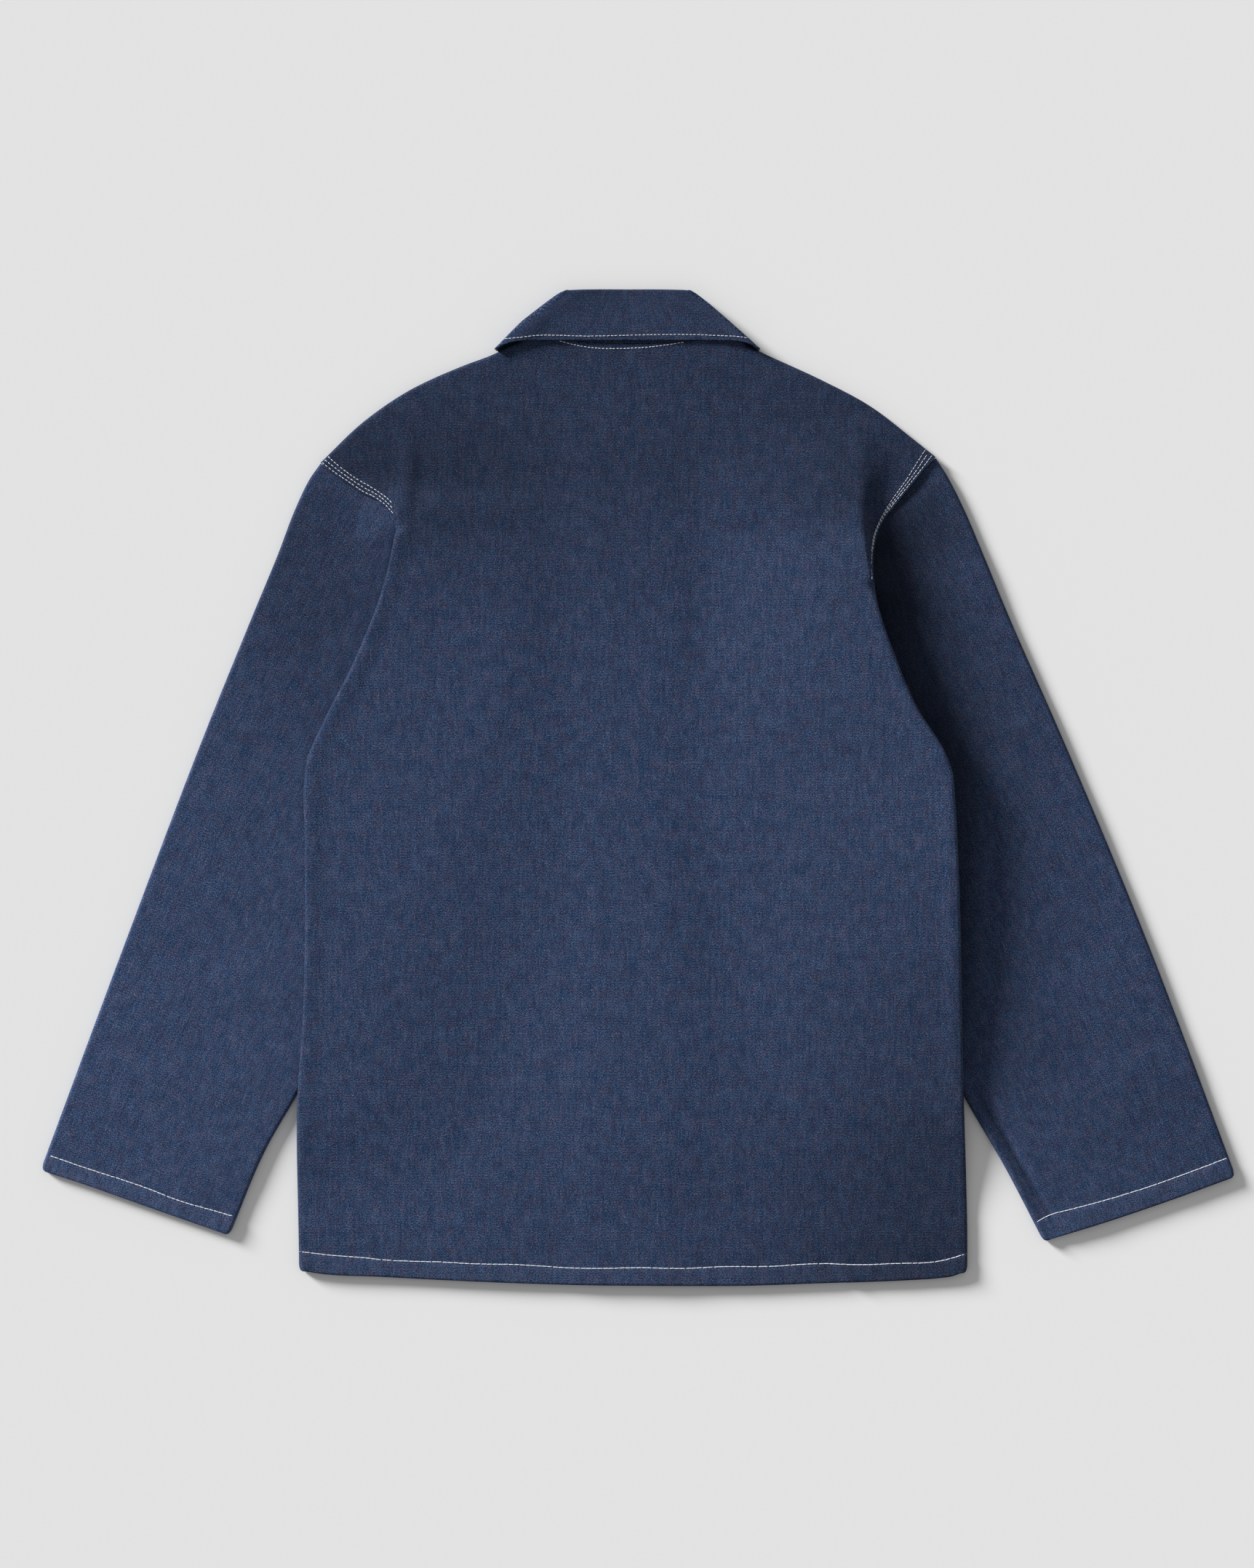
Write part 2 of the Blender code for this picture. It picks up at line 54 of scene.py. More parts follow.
# %% [markdown]
# ## The cut and the lay
#
# The lines that the layers share, and the heights at which they lie on each other. They follow the
# solids' own sizes within a few millimetres, so that every shell lies on its solid. Only the raised
# right side stands higher here. The body lies over the inner parts of both sleeves, and its right
# side stands up in a stiff fold, because raw denim has not been washed soft yet.

# %%
# Driving sizes
DENIM = 1.2  # one thickness of the cloth
HEM_WALL = 2.0  # the cloth with its pressed turning
FLAT = 5.4  # two walls and the air between them
ROLL = FLAT / 2  # outer radius of a side fold
TAIL = 1.5  # flat strip where a rolled edge meets the next piece
SEAM = 0.4  # gap between pieces that are sewn to each other
HEM_DEPTH = 14.0  # turned hem at the bottom and the cuffs
CENTRE = -5.0  # the centre line of the fronts
OVERLAP = 20.0  # how far each front passes the centre line
LAP = 0.3  # how far the felled edge laps over the sleeve

ARMHOLE_LEFT = ((-249, 254.5), (-239.2, 246.6), (-227.4, 238.2), (-217.1, 231.4), (-205.7, 225.6),
                (-200.6, 221.9), (-193.8, 215.4), (-189.2, 209.5))
ARMHOLE_RIGHT = ((233, 259), (223.6, 249.3), (214.3, 237.6), (201.5, 221.8), (193.9, 211.8), (187.5, 199.3),
                 (184.6, 186), (183.4, 175), (183.5, 164))
SIDE_LEFT = ((-189.2, 209.5), (-190.2, 202), (-198.5, 162), (-221.5, 101), (-249, 46), (-258.5, 24),
             (-261.5, 4), (-261, -39), (-264, -203), (-266, -229), (-266, -379.4))
SIDE_RIGHT = ((183.5, 164), (186, 147), (200, 103.5), (217.5, 62.5), (240, 25.5), (245, 12), (247, -8),
              (249, -44), (254.5, -238), (258, -352), (258, -380.8))
SLEEVE_LEFT_INNER = ((-135, 56), (-207, -105), (-266.5, -239), (-292, -284), (-320.5, -351.5))
SLEEVE_RIGHT_INNER = ((134, 56), (200, -105), (255, -241.5), (287, -297), (318, -356.5))
print(f"cloth {DENIM} mm, {FLAT} mm where two walls lie on each other, hem {HEM_DEPTH:.0f} mm")

# %% [markdown]
# ## Small tools for curves, grids and heights
#
# Every panel is a grid of points that fills its four edge curves, with a height for each point.
# That is close to how a pattern cutter thinks of a panel: an outline first, then what the cloth
# does inside it.


# %%
# Curves in plan
def ease(t):
    """0 below 0, 1 above 1 and a soft S between."""
    t = np.clip(t, 0.0, 1.0)
    return t * t * (3 - 2 * t)


def travelled(points):
    """Length along a run of points, up to each of them."""
    steps = np.linalg.norm(np.diff(points, axis=0), axis=1)
    return np.concatenate([[0.0], np.cumsum(steps)])


def smooth(points, fine=900):
    """A smooth curve through the given points, as many close ones."""
    points = np.array(points, float)
    along = travelled(points)
    slopes = np.gradient(points, along, axis=0, edge_order=1)
    at = np.linspace(0, along[-1], fine)
    k = np.clip(np.searchsorted(along, at, side="right") - 1, 0, len(points) - 2)
    h = np.diff(along)[k][:, None]
    t = (at - along[k])[:, None] / h
    return ((2 * t**3 - 3 * t**2 + 1) * points[k] + (t**3 - 2 * t**2 + t) * h * slopes[k]
            + (3 * t**2 - 2 * t**3) * points[k + 1] + (t**3 - t**2) * h * slopes[k + 1])


def sample(curve, lengths):
    """Points of a curve at the given lengths along it."""
    along = travelled(curve)
    return np.stack([np.interp(lengths, along, curve[:, k]) for k in range(curve.shape[1])], 1)


def spline(points, count):
    """Evenly spaced points along the smooth curve through the given ones."""
    curve = smooth(points)
    return sample(curve, np.linspace(0, travelled(curve)[-1], count))


def outward(side, sign):
    """Unit normals in plan along a side that runs down the panel: sign -1 on the left, +1 on the right."""
    d = np.gradient(side, axis=0)
    d /= np.linalg.norm(d, axis=1)[:, None]
    return np.stack([-d[:, 1], d[:, 0]], 1) * sign


def patch(left, right, top, bottom, rows, columns):
    """Grid of plan points that fills four edge curves, with each row's and column's share of the way."""
    v = rows[:, None, None]
    w = columns[None, :, None]
    sides = (1 - w) * left[:, None] + w * right[:, None]
    ends = (1 - v) * top[None] + v * bottom[None]
    corners = ((1 - w) * (1 - v) * top[0] + w * (1 - v) * top[-1]
               + (1 - w) * v * bottom[0] + w * v * bottom[-1])
    return sides + ends - corners


def off_line(x, y, line):
    """Distance from each point to a line of points, and the signed side that it lies on."""
    best = np.full(np.shape(x), 1e9)
    side = np.zeros(np.shape(x))
    line = np.array(line, float)
    for (ax, ay), (bx, by) in zip(line[:-1], line[1:]):
        dx, dy = bx - ax, by - ay
        t = np.clip(((x - ax) * dx + (y - ay) * dy) / (dx * dx + dy * dy), 0, 1)
        gap = np.hypot(x - ax - t * dx, y - ay - t * dy)
        nearer = gap < best
        best = np.where(nearer, gap, best)
        side = np.where(nearer, np.sign((x - ax) * dy - (y - ay) * dx), side)
    return best, side


print("sides:", ", ".join(f"{travelled(smooth(side))[-1]:.0f} mm" for side in (SIDE_LEFT, SIDE_RIGHT)))

# %%
# Heights of the layers
COLLAR_LIFT = 2.8  # the collar's front lies under the fronts
COLLAR_CENTRE = (-5, 320)
COLLAR_RADIUS = 114
COLLAR_RAMP = 13
PLACKET_LIFT = 2.2  # the buttons lie under the fronts' edge
PLACKET_HALF = 12  # half the width that the buttons hold up
PLACKET_RAMP = 6
PLACKET_FADE = (-345, 60)  # from this y up, over this much
INNER_FRONT_STEP = 2.3  # the right front lies on the left one at the overlap
BACK_STEP = 1.3  # the back over that overlap
OVERLAP_RAMP = 46
SLEEVE_LIFT = 6.8  # the body rests on the sleeves
SLEEVE_RAMP = 42.0
SLEEVE_FADE = (-335, 95)
SLEEVE_MARGIN = 8.0  # the body is still fully up this far past a hidden sleeve's edge
LIFT_LEFT = (252, 212)  # a sleeve's lift starts at the first y, and is full from the second down
LIFT_RIGHT = (228, 168)
TENT_REACH = 150.0  # how far in the raised side reaches
TUCK = 3  # the raised side is highest this far inside its edge
ABOVE_SIDE = ((178, 205), (174, 240))  # how its edge goes on above the side's end
# Raised right side: y and lift
TENT = ((288, 0), (262, 3.5), (240, 7.5), (212, 10.5), (184, 12), (164, 13), (104, 15), (40, 15.5),
        (-60, 14.5), (-130, 11.5), (-181, 7), (-226, 4), (-272, 1.5), (-330, 0))


def faded(y, start, reach):
    """0 up to a y, rising softly to 1 over the reach above it."""
    return ease((y - start) / reach)


def beyond(x, y, start, end):
    """Distance to the right of the line from start to end."""
    (ax, ay), (bx, by) = start, end
    return ((x - ax) * (by - ay) - (y - ay) * (bx - ax)) / math.hypot(bx - ax, by - ay)


def sleeve_lift(x, y, armhole_end, inner, sign, span, ramp=SLEEVE_RAMP):
    """The body rises where the hidden part of a sleeve lies under it."""
    start, full = span
    over_armhole = beyond(x, y, armhole_end, inner[0]) * sign
    over_inner = beyond(x, y, inner[0], inner[2]) * sign
    away = np.hypot(np.maximum(over_armhole, 0), np.maximum(over_inner, 0)) - SLEEVE_MARGIN
    down = ease((start - y) / (start - full))
    return SLEEVE_LIFT * (1 - ease(away / ramp)) * down * faded(y, *SLEEVE_FADE)


def ridge(x, y, fold):
    """Height of one soft fold, given its ends, half width and height."""
    ax, ay, bx, by, half_width, height = fold
    dx, dy = bx - ax, by - ay
    t = ((x - ax) * dx + (y - ay) * dy) / (dx * dx + dy * dy)
    along = np.clip(t, 0, 1)
    off = np.hypot(x - ax - along * dx, y - ay - along * dy)
    ends = 0.35 + 0.65 * np.sin(math.pi * along)
    return height * ends * (1 - ease(off / half_width))


def raised_side(x, y):
    """The right side stands up: highest at its edge, and down again past its soft fold line."""
    heights = np.array(TENT[::-1], float)
    tent = np.interp(y, heights[:, 0], heights[:, 1])
    side = np.array(SIDE_RIGHT[::-1] + ABOVE_SIDE, float)
    edge = np.interp(y, side[:, 1], side[:, 0])
    return tent * (1 - ease((edge - TUCK - x) / TENT_REACH))


def lift(x, y, ramp=SLEEVE_RAMP):
    """Height of the fronts' outer face above the surface that the jacket lies on.

    The back spans the same things more stiffly, with a longer ramp.
    """
    left = sleeve_lift(x, y, ARMHOLE_LEFT[-1], SLEEVE_LEFT_INNER, -1, LIFT_LEFT, ramp)
    right = sleeve_lift(x, y, ARMHOLE_RIGHT[-1], SLEEVE_RIGHT_INNER, 1, LIFT_RIGHT, ramp)
    from_collar = np.hypot(x - COLLAR_CENTRE[0], y - COLLAR_CENTRE[1]) - COLLAR_RADIUS
    collar = COLLAR_LIFT * (1 - ease(from_collar / (COLLAR_RAMP + ramp)))
    from_placket = np.abs(x - CENTRE) - PLACKET_HALF
    placket = PLACKET_LIFT * (1 - ease(from_placket / (PLACKET_RAMP + ramp))) * faded(y, *PLACKET_FADE)
    return (left**4 + right**4 + collar**4 + placket**4) ** 0.25 + raised_side(x, y)


def overlap(x):
    """1 where both fronts lie on each other, 0 well away from there."""
    return 1 - ease((np.abs(x - CENTRE) - OVERLAP - 2) / OVERLAP_RAMP)


def ripple(x, y, length, seed):
    """A smooth, uneven height between -1 and 1, from crossed waves of about the given length."""
    random = np.random.default_rng(seed)
    total = np.zeros(np.shape(x))
    for _ in range(7):
        angle, phase = random.uniform(0, 2 * math.pi, 2)
        wave = 2 * math.pi / (length * random.uniform(0.7, 1.6))
        total += np.sin((x * math.cos(angle) + y * math.sin(angle)) * wave + phase)
    return total / 4.5


print(f"raised side: up to {max(up for _, up in TENT)} mm over a lift of {SLEEVE_LIFT} mm")

# %% [markdown]
# ## From points to cloth
#
# A shell starts as one skin of points, its right side, and gets its thickness inwards. Each point
# remembers its place in the flat cloth, across and along the warp, so that the weave follows the
# cut: upright in the body, down the arm in the sleeves. It also keeps a painted highlight, which
# makes the cloth paler along some edges and turnings, and a tone. The tone is painted shade and
# light: it darkens the cloth where layers meet deeply, more than this light does alone, lightens it
# in a few places, and stays there under any other light. A tone of 1 takes it out.


# %%
# Building shells
SHARP_ANGLE = math.radians(50)
JACKET = bpy.data.collections.new("chore_jacket_visual")
bpy.context.scene.collection.children.link(JACKET)


def attribute(mesh, name, values):
    """Stores one value or vector a point."""
    values = np.asarray(values, np.float32)
    kind = "FLOAT_VECTOR" if values.ndim == 2 else "FLOAT"
    layer = mesh.attributes.new(name, kind, "POINT")
    layer.data.foreach_set("vector" if kind == "FLOAT_VECTOR" else "value", values.ravel())


def shell(name, points, walls, materials, cloth, tone=1.0, painted_highlight=0.0, closed=False, flip=False):
    """A thin shell of cloth from rows of points on its right side, in millimetres."""
    rows, columns = points.shape[:2]
    vertices = points.reshape(-1, 3) * MM
    index = np.arange(rows * columns).reshape(rows, columns)
    after = np.roll(index, -1, 1) if closed else index[:, 1:]
    before = index if closed else index[:, :-1]
    quads = np.stack([before[:-1], after[:-1], after[1:], before[1:]], -1).reshape(-1, 4)
    if flip:
        quads = quads[:, ::-1]
    mesh = bpy.data.meshes.new(name)
    mesh.from_pydata(vertices, [], quads)
    across, along = (np.broadcast_to(c, (rows, columns)).ravel() for c in cloth)
    attribute(mesh, "cloth", np.stack([across, along, np.zeros(len(across))], 1) * MM)
    attribute(mesh, "tone", np.broadcast_to(tone, (rows, columns)).ravel())
    attribute(mesh, "painted_highlight", np.broadcast_to(painted_highlight, (rows, columns)).ravel())
    obj = bpy.data.objects.new(name, mesh)
    JACKET.objects.link(obj)
    group = obj.vertex_groups.new(name="wall")
    walls = np.broadcast_to(walls, (rows, columns)).ravel()
    for wall in np.unique(walls):
        group.add(np.flatnonzero(walls == wall).tolist(), float(wall / walls.max()), "REPLACE")
    for material in materials:
        mesh.materials.append(material)
    thick = obj.modifiers.new("wall", "SOLIDIFY")
    thick.thickness = float(walls.max()) * MM
    thick.vertex_group = "wall"
    thick.offset = -1
    thick.material_offset = len(materials) - 1
    solid = bpy.data.meshes.new_from_object(obj.evaluated_get(bpy.context.evaluated_depsgraph_get()))
    obj.modifiers.clear()
    obj.data = solid
    solid.name = name
    solid.shade_smooth()
    solid.set_sharp_from_angle(angle=SHARP_ANGLE)
    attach(obj, "root")
    low, high = points[..., 2].min(), points[..., 2].max()
    print(f"{name}: {len(solid.polygons)} faces, {low:.1f} to {high:.1f} mm high")
    return obj


SPAN = math.pi * ROLL + TAIL  # how much cloth a rolled edge takes


def roll_reach(rolls, span=SPAN):
    """How far a rolled edge's lines reach past their axis: least for a half round, most where it is flat."""
    wide = ROLL / np.maximum(rolls, 1e-4)
    bend = np.minimum(span, math.pi * ROLL) / wide
    tail = np.maximum(span - math.pi * ROLL, 0)
    return np.where(bend < math.pi / 2, wide * np.sin(bend) + tail * np.cos(bend), wide)


def rolled(axis, normals, height, rolls, lap, lines, span=SPAN):
    """Lines past a panel's edge: flat where the roll is 0, half round to the underside where it is 1.

    Each is its points, then their places in the flat cloth.
    """
    made = []
    base = height(axis[:, 0], axis[:, 1])
    wide = ROLL / np.maximum(rolls, 1e-4)
    for share in np.linspace(0, 1, lines + 1)[1:]:
        length = share * span
        turn = np.minimum(length, math.pi * ROLL) / wide
        tail = np.maximum(length - math.pi * ROLL, 0)
        out = wide * np.sin(turn) + tail * np.cos(turn) + share * lap
        drop = wide * (1 - np.cos(turn)) + tail * np.sin(turn)
        plan = axis + normals * out[:, None]
        z = base - drop + (height(plan[:, 0], plan[:, 1]) - base) * (1 - rolls) ** 2
        cloth = axis + normals * (length + share * lap)[:, None]
        made.append(np.column_stack([plan, z, cloth]))
    return made


TURNING_STEP = 0.55  # how far a hem's turning stands out, inside its stitches
ROW_SUNK = 0.5  # how deep the stitches pull the cloth in
ROW_WIDTH = 1.1
EDGE_ROUND = 0.9  # how far the hem's edge is rounded down
EDGE_WIDTH = 1.1
# Puckers between the stitches and the edge: length and height
SHORT_PUCKER = (9.0, 0.22)
LONG_PUCKER = (31.0, 0.25)


def hem_profile(gap, above, along, seed):
    """Height that a turned, stitched hem adds, by the distances from its edge and above its stitches."""
    turning = TURNING_STEP * (1 - ease((above + 0.3) / 2.0))
    sunk = ROW_SUNK * np.exp(-((above / ROW_WIDTH) ** 2))
    edge = EDGE_ROUND * (1 - np.sqrt(1 - np.clip(1 - gap / EDGE_WIDTH, 0, 1) ** 2))
    still = gap * 0.0
    slanted = ripple(along + gap * 0.6, still, SHORT_PUCKER[0], seed) * SHORT_PUCKER[1]
    puckers = slanted + ripple(along, still, LONG_PUCKER[0], seed + 1) * LONG_PUCKER[1]
    near = np.exp(-(((above + 4) / 7.5) ** 2))
    return turning - sunk - edge + puckers * near


def above_row(x, y, row):
    """Distance above a row of points that runs to the right."""
    off, side = off_line(x, y, row)
    return -off * side


def patches(x, y, table):
    """Painted tone: 1, and more or less around each soft patch of x, y, width, height and amount."""
    tone = np.ones(np.shape(x))
    for px, py, wide, high, amount in table:
        tone = tone + amount * np.exp(-(((x - px) / wide) ** 2) - ((y - py) / high) ** 2)
    return tone

# %% [markdown]
# ## Denim, thread and metal
#
# Raw denim is a twill: dark indigo warp over pale weft, so that fine slanting lines and pale specks
# show through the blue. The warp yarns are uneven, which gives faint streaks along the cloth. The
# wrong side shows mostly weft, and is paler. The material draws all of this from the cloth's own
# coordinates, in metres, with no image.


# %%
# Materials
def feed(tree, socket, value):
    """Gives an input a value, or links another node's output to it."""
    if isinstance(value, bpy.types.NodeSocket):
        tree.links.new(value, socket)
    else:
        socket.default_value = value


def node(tree, kind, inputs=(), **settings):
    """Adds a shader node, sets its properties and its inputs by value or by socket."""
    made = tree.nodes.new(kind)
    for key, value in settings.items():
        setattr(made, key, value)
    for key, value in dict(inputs).items():
        feed(tree, made.inputs[key], value)
    return made


def plain(name):
    """An empty material and its shader."""
    material = bpy.data.materials.new(name)
    material.use_nodes = True
    return material, material.node_tree, material.node_tree.nodes["Principled BSDF"]


def finish(tree, shader, inputs):
    """Sets several of a shader's inputs, each by value or by socket."""
    for key, value in inputs.items():
        feed(tree, shader.inputs[key], value)


def mixed(tree, factor, low, high):
    """A colour between two, by a factor."""
    made = node(tree, "ShaderNodeMix", data_type="RGBA")
    for place, value in ((0, factor), (6, low), (7, high)):
        feed(tree, made.inputs[place], value)
    return made.outputs[2]


def maths(tree, operation, *values, clamp=False):
    """One sum of sockets or numbers."""
    made = node(tree, "ShaderNodeMath", operation=operation, use_clamp=clamp)
    for socket, value in zip(made.inputs, values):
        feed(tree, socket, value)
    return made.outputs[0]


def noise(tree, place, scale, detail=2.0, rough=0.5):
    """Noise between 0 and 1 at a place in the cloth, stretched by its own scale across and along."""
    stretched = node(tree, "ShaderNodeVectorMath", {0: place, 1: (*scale, 1.0)}, operation="MULTIPLY")
    inputs = {"Vector": stretched.outputs[0], "Scale": 1.0, "Detail": detail, "Roughness": rough}
    return node(tree, "ShaderNodeTexNoise", inputs, noise_dimensions="2D").outputs[0]


def contrast(tree, value, low, high, to_low=0.0, to_high=1.0):
    """Stretches a value from one range to another, with no overshoot."""
    made = node(tree, "ShaderNodeMapRange", {"Value": value, "From Min": low, "From Max": high,
                                             "To Min": to_low, "To Max": to_high})
    return made.outputs[0]


TWILL_TURNS = 2 * math.pi / 0.0021  # a wale every 2.1 mm up the cloth
ZIGZAGS = 400.0  # across a metre of cloth
SPECKLE = 0.98
# Each pattern of the cloth: its scale across and along, detail, roughness, the range of the noise
# that is stretched, and what that range becomes, where it isn't 0 to 1
PATTERNS = {
    "speckle": ((900, 1300), 1.0, 0.7, 0.25, 0.75),
    "crisp": ((90, 90), 2.0, 0.5, 0.35, 0.65, 0.08, 0.25),
    "warp": ((420, 55), 3.0, 0.6, 0.2, 0.8, -0.5, 0.5),
    "weft": ((60, 640), 2.0, 0.55, 0.2, 0.8, -0.5, 0.5),
    "mottle": ((95, 85), 3.0, 0.8, 0.25, 0.75, -0.5, 0.5),
    "hue": ((110, 100), 2.0, 0.7, 0.33, 0.67),
    "fleck": ((700, 620), 0.0, 0.5, 0.86, 0.92),
    "drift": ((140, 90), 2.0, 0.7, 0.3, 0.7),
}
YARN_SHARES = {"warp": 0.32, "weft": 0.12, "mottle": 0.30}  # of the weave's lightness
# How much a painted highlight lightens the weave
HIGHLIGHT_SHARE = 0.30
# What red, green and blue are multiplied by, where the dye leans one way and the other
DYE_LEANS = ((0.35, 1.04, 1.06), (1.65, 0.96, 0.94))
DRIFTS = ((0.87, 1.02, 1.06), (1.13, 0.98, 0.94))
FLECK = (0.22, 0.24, 0.27)


def pattern(tree, place, name):
    """One of the cloth's patterns, from its row in the table."""
    scale, detail, rough, *ranges = PATTERNS[name]
    return contrast(tree, noise(tree, place, scale, detail, rough), *ranges)


def denim(name, dark, light):
    """Indigo twill: short zigzag wales, speckle, slubby warp and weft, and a few pale flecks."""
    material, tree, shader = plain(name)
    place = node(tree, "ShaderNodeAttribute", attribute_name="cloth").outputs["Vector"]
    tone = node(tree, "ShaderNodeAttribute", attribute_name="tone").outputs["Fac"]
    painted_highlight = node(tree, "ShaderNodeAttribute", attribute_name="painted_highlight").outputs["Fac"]
    split = node(tree, "ShaderNodeSeparateXYZ", {0: place})
    across, along = split.outputs[0], split.outputs[1]
    speckle = pattern(tree, place, "speckle")
    zigzag = maths(tree, "PINGPONG", maths(tree, "MULTIPLY", across, ZIGZAGS), 0.5)
    wander = maths(tree, "MULTIPLY", noise(tree, place, (260, 260), 1.0, 0.5), 9.0)
    turns = maths(tree, "MULTIPLY", along, TWILL_TURNS)
    phase = maths(tree, "ADD", turns, maths(tree, "MULTIPLY", zigzag, 7.0))
    wale = maths(tree, "SINE", maths(tree, "ADD", phase, wander))
    crisp = pattern(tree, place, "crisp")
    weave = maths(tree, "MULTIPLY_ADD", wale, crisp, maths(tree, "MULTIPLY", speckle, SPECKLE))
    for yarn, share in YARN_SHARES.items():
        weave = maths(tree, "MULTIPLY_ADD", pattern(tree, place, yarn), share, weave)
    # Paler where a painted highlight lies along an edge or a turning
    weave = maths(tree, "MULTIPLY_ADD", painted_highlight, HIGHLIGHT_SHARE, weave)
    weave = maths(tree, "ADD", weave, 0.45 - SPECKLE / 2, clamp=True)
    leaning = [(*(part * lean for part, lean in zip(dark, leans)), 1) for leans in DYE_LEANS]
    deep = mixed(tree, pattern(tree, place, "hue"), *leaning)
    colour = mixed(tree, maths(tree, "POWER", weave, 1.6), deep, (*light, 1))
    fleck = maths(tree, "MULTIPLY", pattern(tree, place, "fleck"), 0.6)
    colour = mixed(tree, fleck, colour, (*FLECK, 1))
    tint = mixed(tree, pattern(tree, place, "drift"), *((*drift, 1) for drift in DRIFTS))
    colour = node(tree, "ShaderNodeVectorMath", {0: colour, 1: tint}, operation="MULTIPLY").outputs[0]
    # Painted shade and light: the colour is scaled by the tone
    toned = node(tree, "ShaderNodeVectorMath", {0: colour, "Scale": tone}, operation="SCALE")
    feed(tree, shader.inputs["Base Color"], toned.outputs[0])
    height = maths(tree, "MULTIPLY_ADD", speckle, 0.6, maths(tree, "MULTIPLY", wale, 0.2))
    bump = node(tree, "ShaderNodeBump", {"Height": height, "Strength": 0.3, "Distance": 0.0004})
    finish(tree, shader, {"Normal": bump.outputs[0], "Roughness": 0.88, "Specular IOR Level": 0.12,
                          "Sheen Weight": 0.03, "Sheen Roughness": 0.5})
    return material


RIGHT_SIDE = denim("indigo_twill", (0.0078, 0.0210, 0.0622), (0.091, 0.120, 0.217))
WRONG_SIDE = denim("indigo_twill_wrong_side", (0.07, 0.09, 0.13), (0.34, 0.37, 0.42))
CLOTH = (RIGHT_SIDE, WRONG_SIDE)


def thread_material():
    """Off-white cotton thread with a faint twist."""
    material, tree, shader = plain("cotton_thread")
    place = node(tree, "ShaderNodeTexCoord").outputs["Object"]
    fuzz = noise(tree, place, (1600, 1600), 1.0, 0.5)
    colour = mixed(tree, contrast(tree, fuzz, 0.3, 0.7), (0.50, 0.52, 0.57, 1), (0.78, 0.80, 0.85, 1))
    bump = node(tree, "ShaderNodeBump", {"Height": fuzz, "Strength": 0.3, "Distance": 0.0001})
    finish(tree, shader, {"Base Color": colour, "Normal": bump.outputs[0], "Roughness": 0.75})
    return material


THREAD = thread_material()


def metal_material():
    """Dull brass with fine scratches and darker spots."""
    material, tree, shader = plain("dull_brass")
    place = node(tree, "ShaderNodeTexCoord").outputs["Object"]
    spots = noise(tree, place, (260, 260), 3.0, 0.6)
    colour = mixed(tree, contrast(tree, spots, 0.35, 0.65), (0.16, 0.11, 0.06, 1), (0.36, 0.26, 0.14, 1))
    rough = contrast(tree, spots, 0.3, 0.7, 0.55, 0.32)
    finish(tree, shader, {"Base Color": colour, "Roughness": rough, "Metallic": 1.0})
    return material


BRASS = metal_material()
print("materials:", ", ".join(m.name for m in (RIGHT_SIDE, WRONG_SIDE, THREAD, BRASS)))

# %% [markdown]
# ## The back
#
# One piece of denim from the collar to the hem. On a real jacket it is cut flat, with a curved
# shoulder line and armholes. Its side seams and shoulders roll half round to meet the fronts, and
# its armhole edge is turned under and felled over the sleeve, with three rows of stitching. It is
# made as one grid, so that its folds run across it without a break.

# %%
# The body's outline, fold lines and hem stitches
SHOULDER_LEFT = ((-85, 354), (-101, 345.5), (-113, 339.5), (-138, 330), (-183, 309), (-216, 286),
                 (-249, 254.5))
SHOULDER_RIGHT = ((76, 352), (95, 341.5), (107, 336), (143, 319.5), (183, 298), (213, 275), (233, 259))
NECK_BACK = ((-85, 354), (-62, 350.5), (-35, 348), (-7, 347), (23, 348), (50, 350), (76, 352))
HEM = ((-260.8, -379.4), (-251, -381), (-202, -383.7), (-154, -386.2), (-101, -388.5), (-44, -390.2),
       (13, -390.7), (85, -390.7), (142, -388.8), (180, -387.7), (218, -386), (236.8, -384.6),
       (246.5, -383.2), (252.8, -380.8))
HEM_ROW = ((-265.5, -363.8), (-242, -366.6), (-211.4, -369.1), (-200, -370.4), (-177.2, -371.5),
           (-154.4, -372.1), (-127.8, -373.5), (-97.4, -374), (-72.7, -375.5), (-53.7, -376.7), (-27, -377),
           (0, -376.4), (35.6, -377), (65.8, -375.7), (104, -375.5), (138.2, -373.5), (151.3, -373.5),
           (170.5, -374.2), (199, -373.3), (237, -371.2), (257.5, -365.5))
# Soft fold lines, which run on above the sides' own edges
FOLD_LEFT = ((-180, 290), (-180, 258), (-181, 234), (-186, 215), (-189.5, 202))
FOLD_RIGHT = ((171, 300), (173.5, 254), (174, 221), (177, 189), (181.5, 167))
print(f"body outline: {len(SHOULDER_LEFT) + len(SHOULDER_RIGHT) + len(NECK_BACK) + len(HEM)} points")

# %%
# The back's height and folds
BACK_RAMP = 170.0
# x and y at both ends, half width, height
BACK_FOLDS = (
    (-180, 262, -186, 205, 20, 0.4),
    (-178, 272, -181, 222, 8, 0.6),
    (150, 250, 176, 178, 24, 1.2),
    (-120, 250, -150, 60, 45, -0.8),
    (60, 290, 100, 150, 40, 0.7),
    (-60, 40, -80, -180, 50, 0.8),
    (70, -60, 90, -300, 45, -0.7),
    (145, -371, 161, -388, 6, -1.7),
    (153, -371, 169, -388, 6, 1.0),
)
BACK_WAVES = ((0.35, 120.0, 3), (0.10, 34.0, 4))  # height, length and seed
FOLD_FADE = (-330, 120)
FOLD_HALF = 12  # half width of the ridges along both soft fold lines
FOLD_HEIGHTS = (0.8, 0.9)  # left and right
SEAM_LEAST = 6.9  # an armhole's edge is at least this high
SEAM_OVER = 2.9  # and this far over the front
# Seam, fold line, side, y of the seam's lower end, and 1 where the body rises late and steeply
LEFT_FLANK = (ARMHOLE_LEFT, FOLD_LEFT, -1, 210, 0.0)
RIGHT_FLANK = (ARMHOLE_RIGHT, FOLD_RIGHT, 1, 164, 1.0)
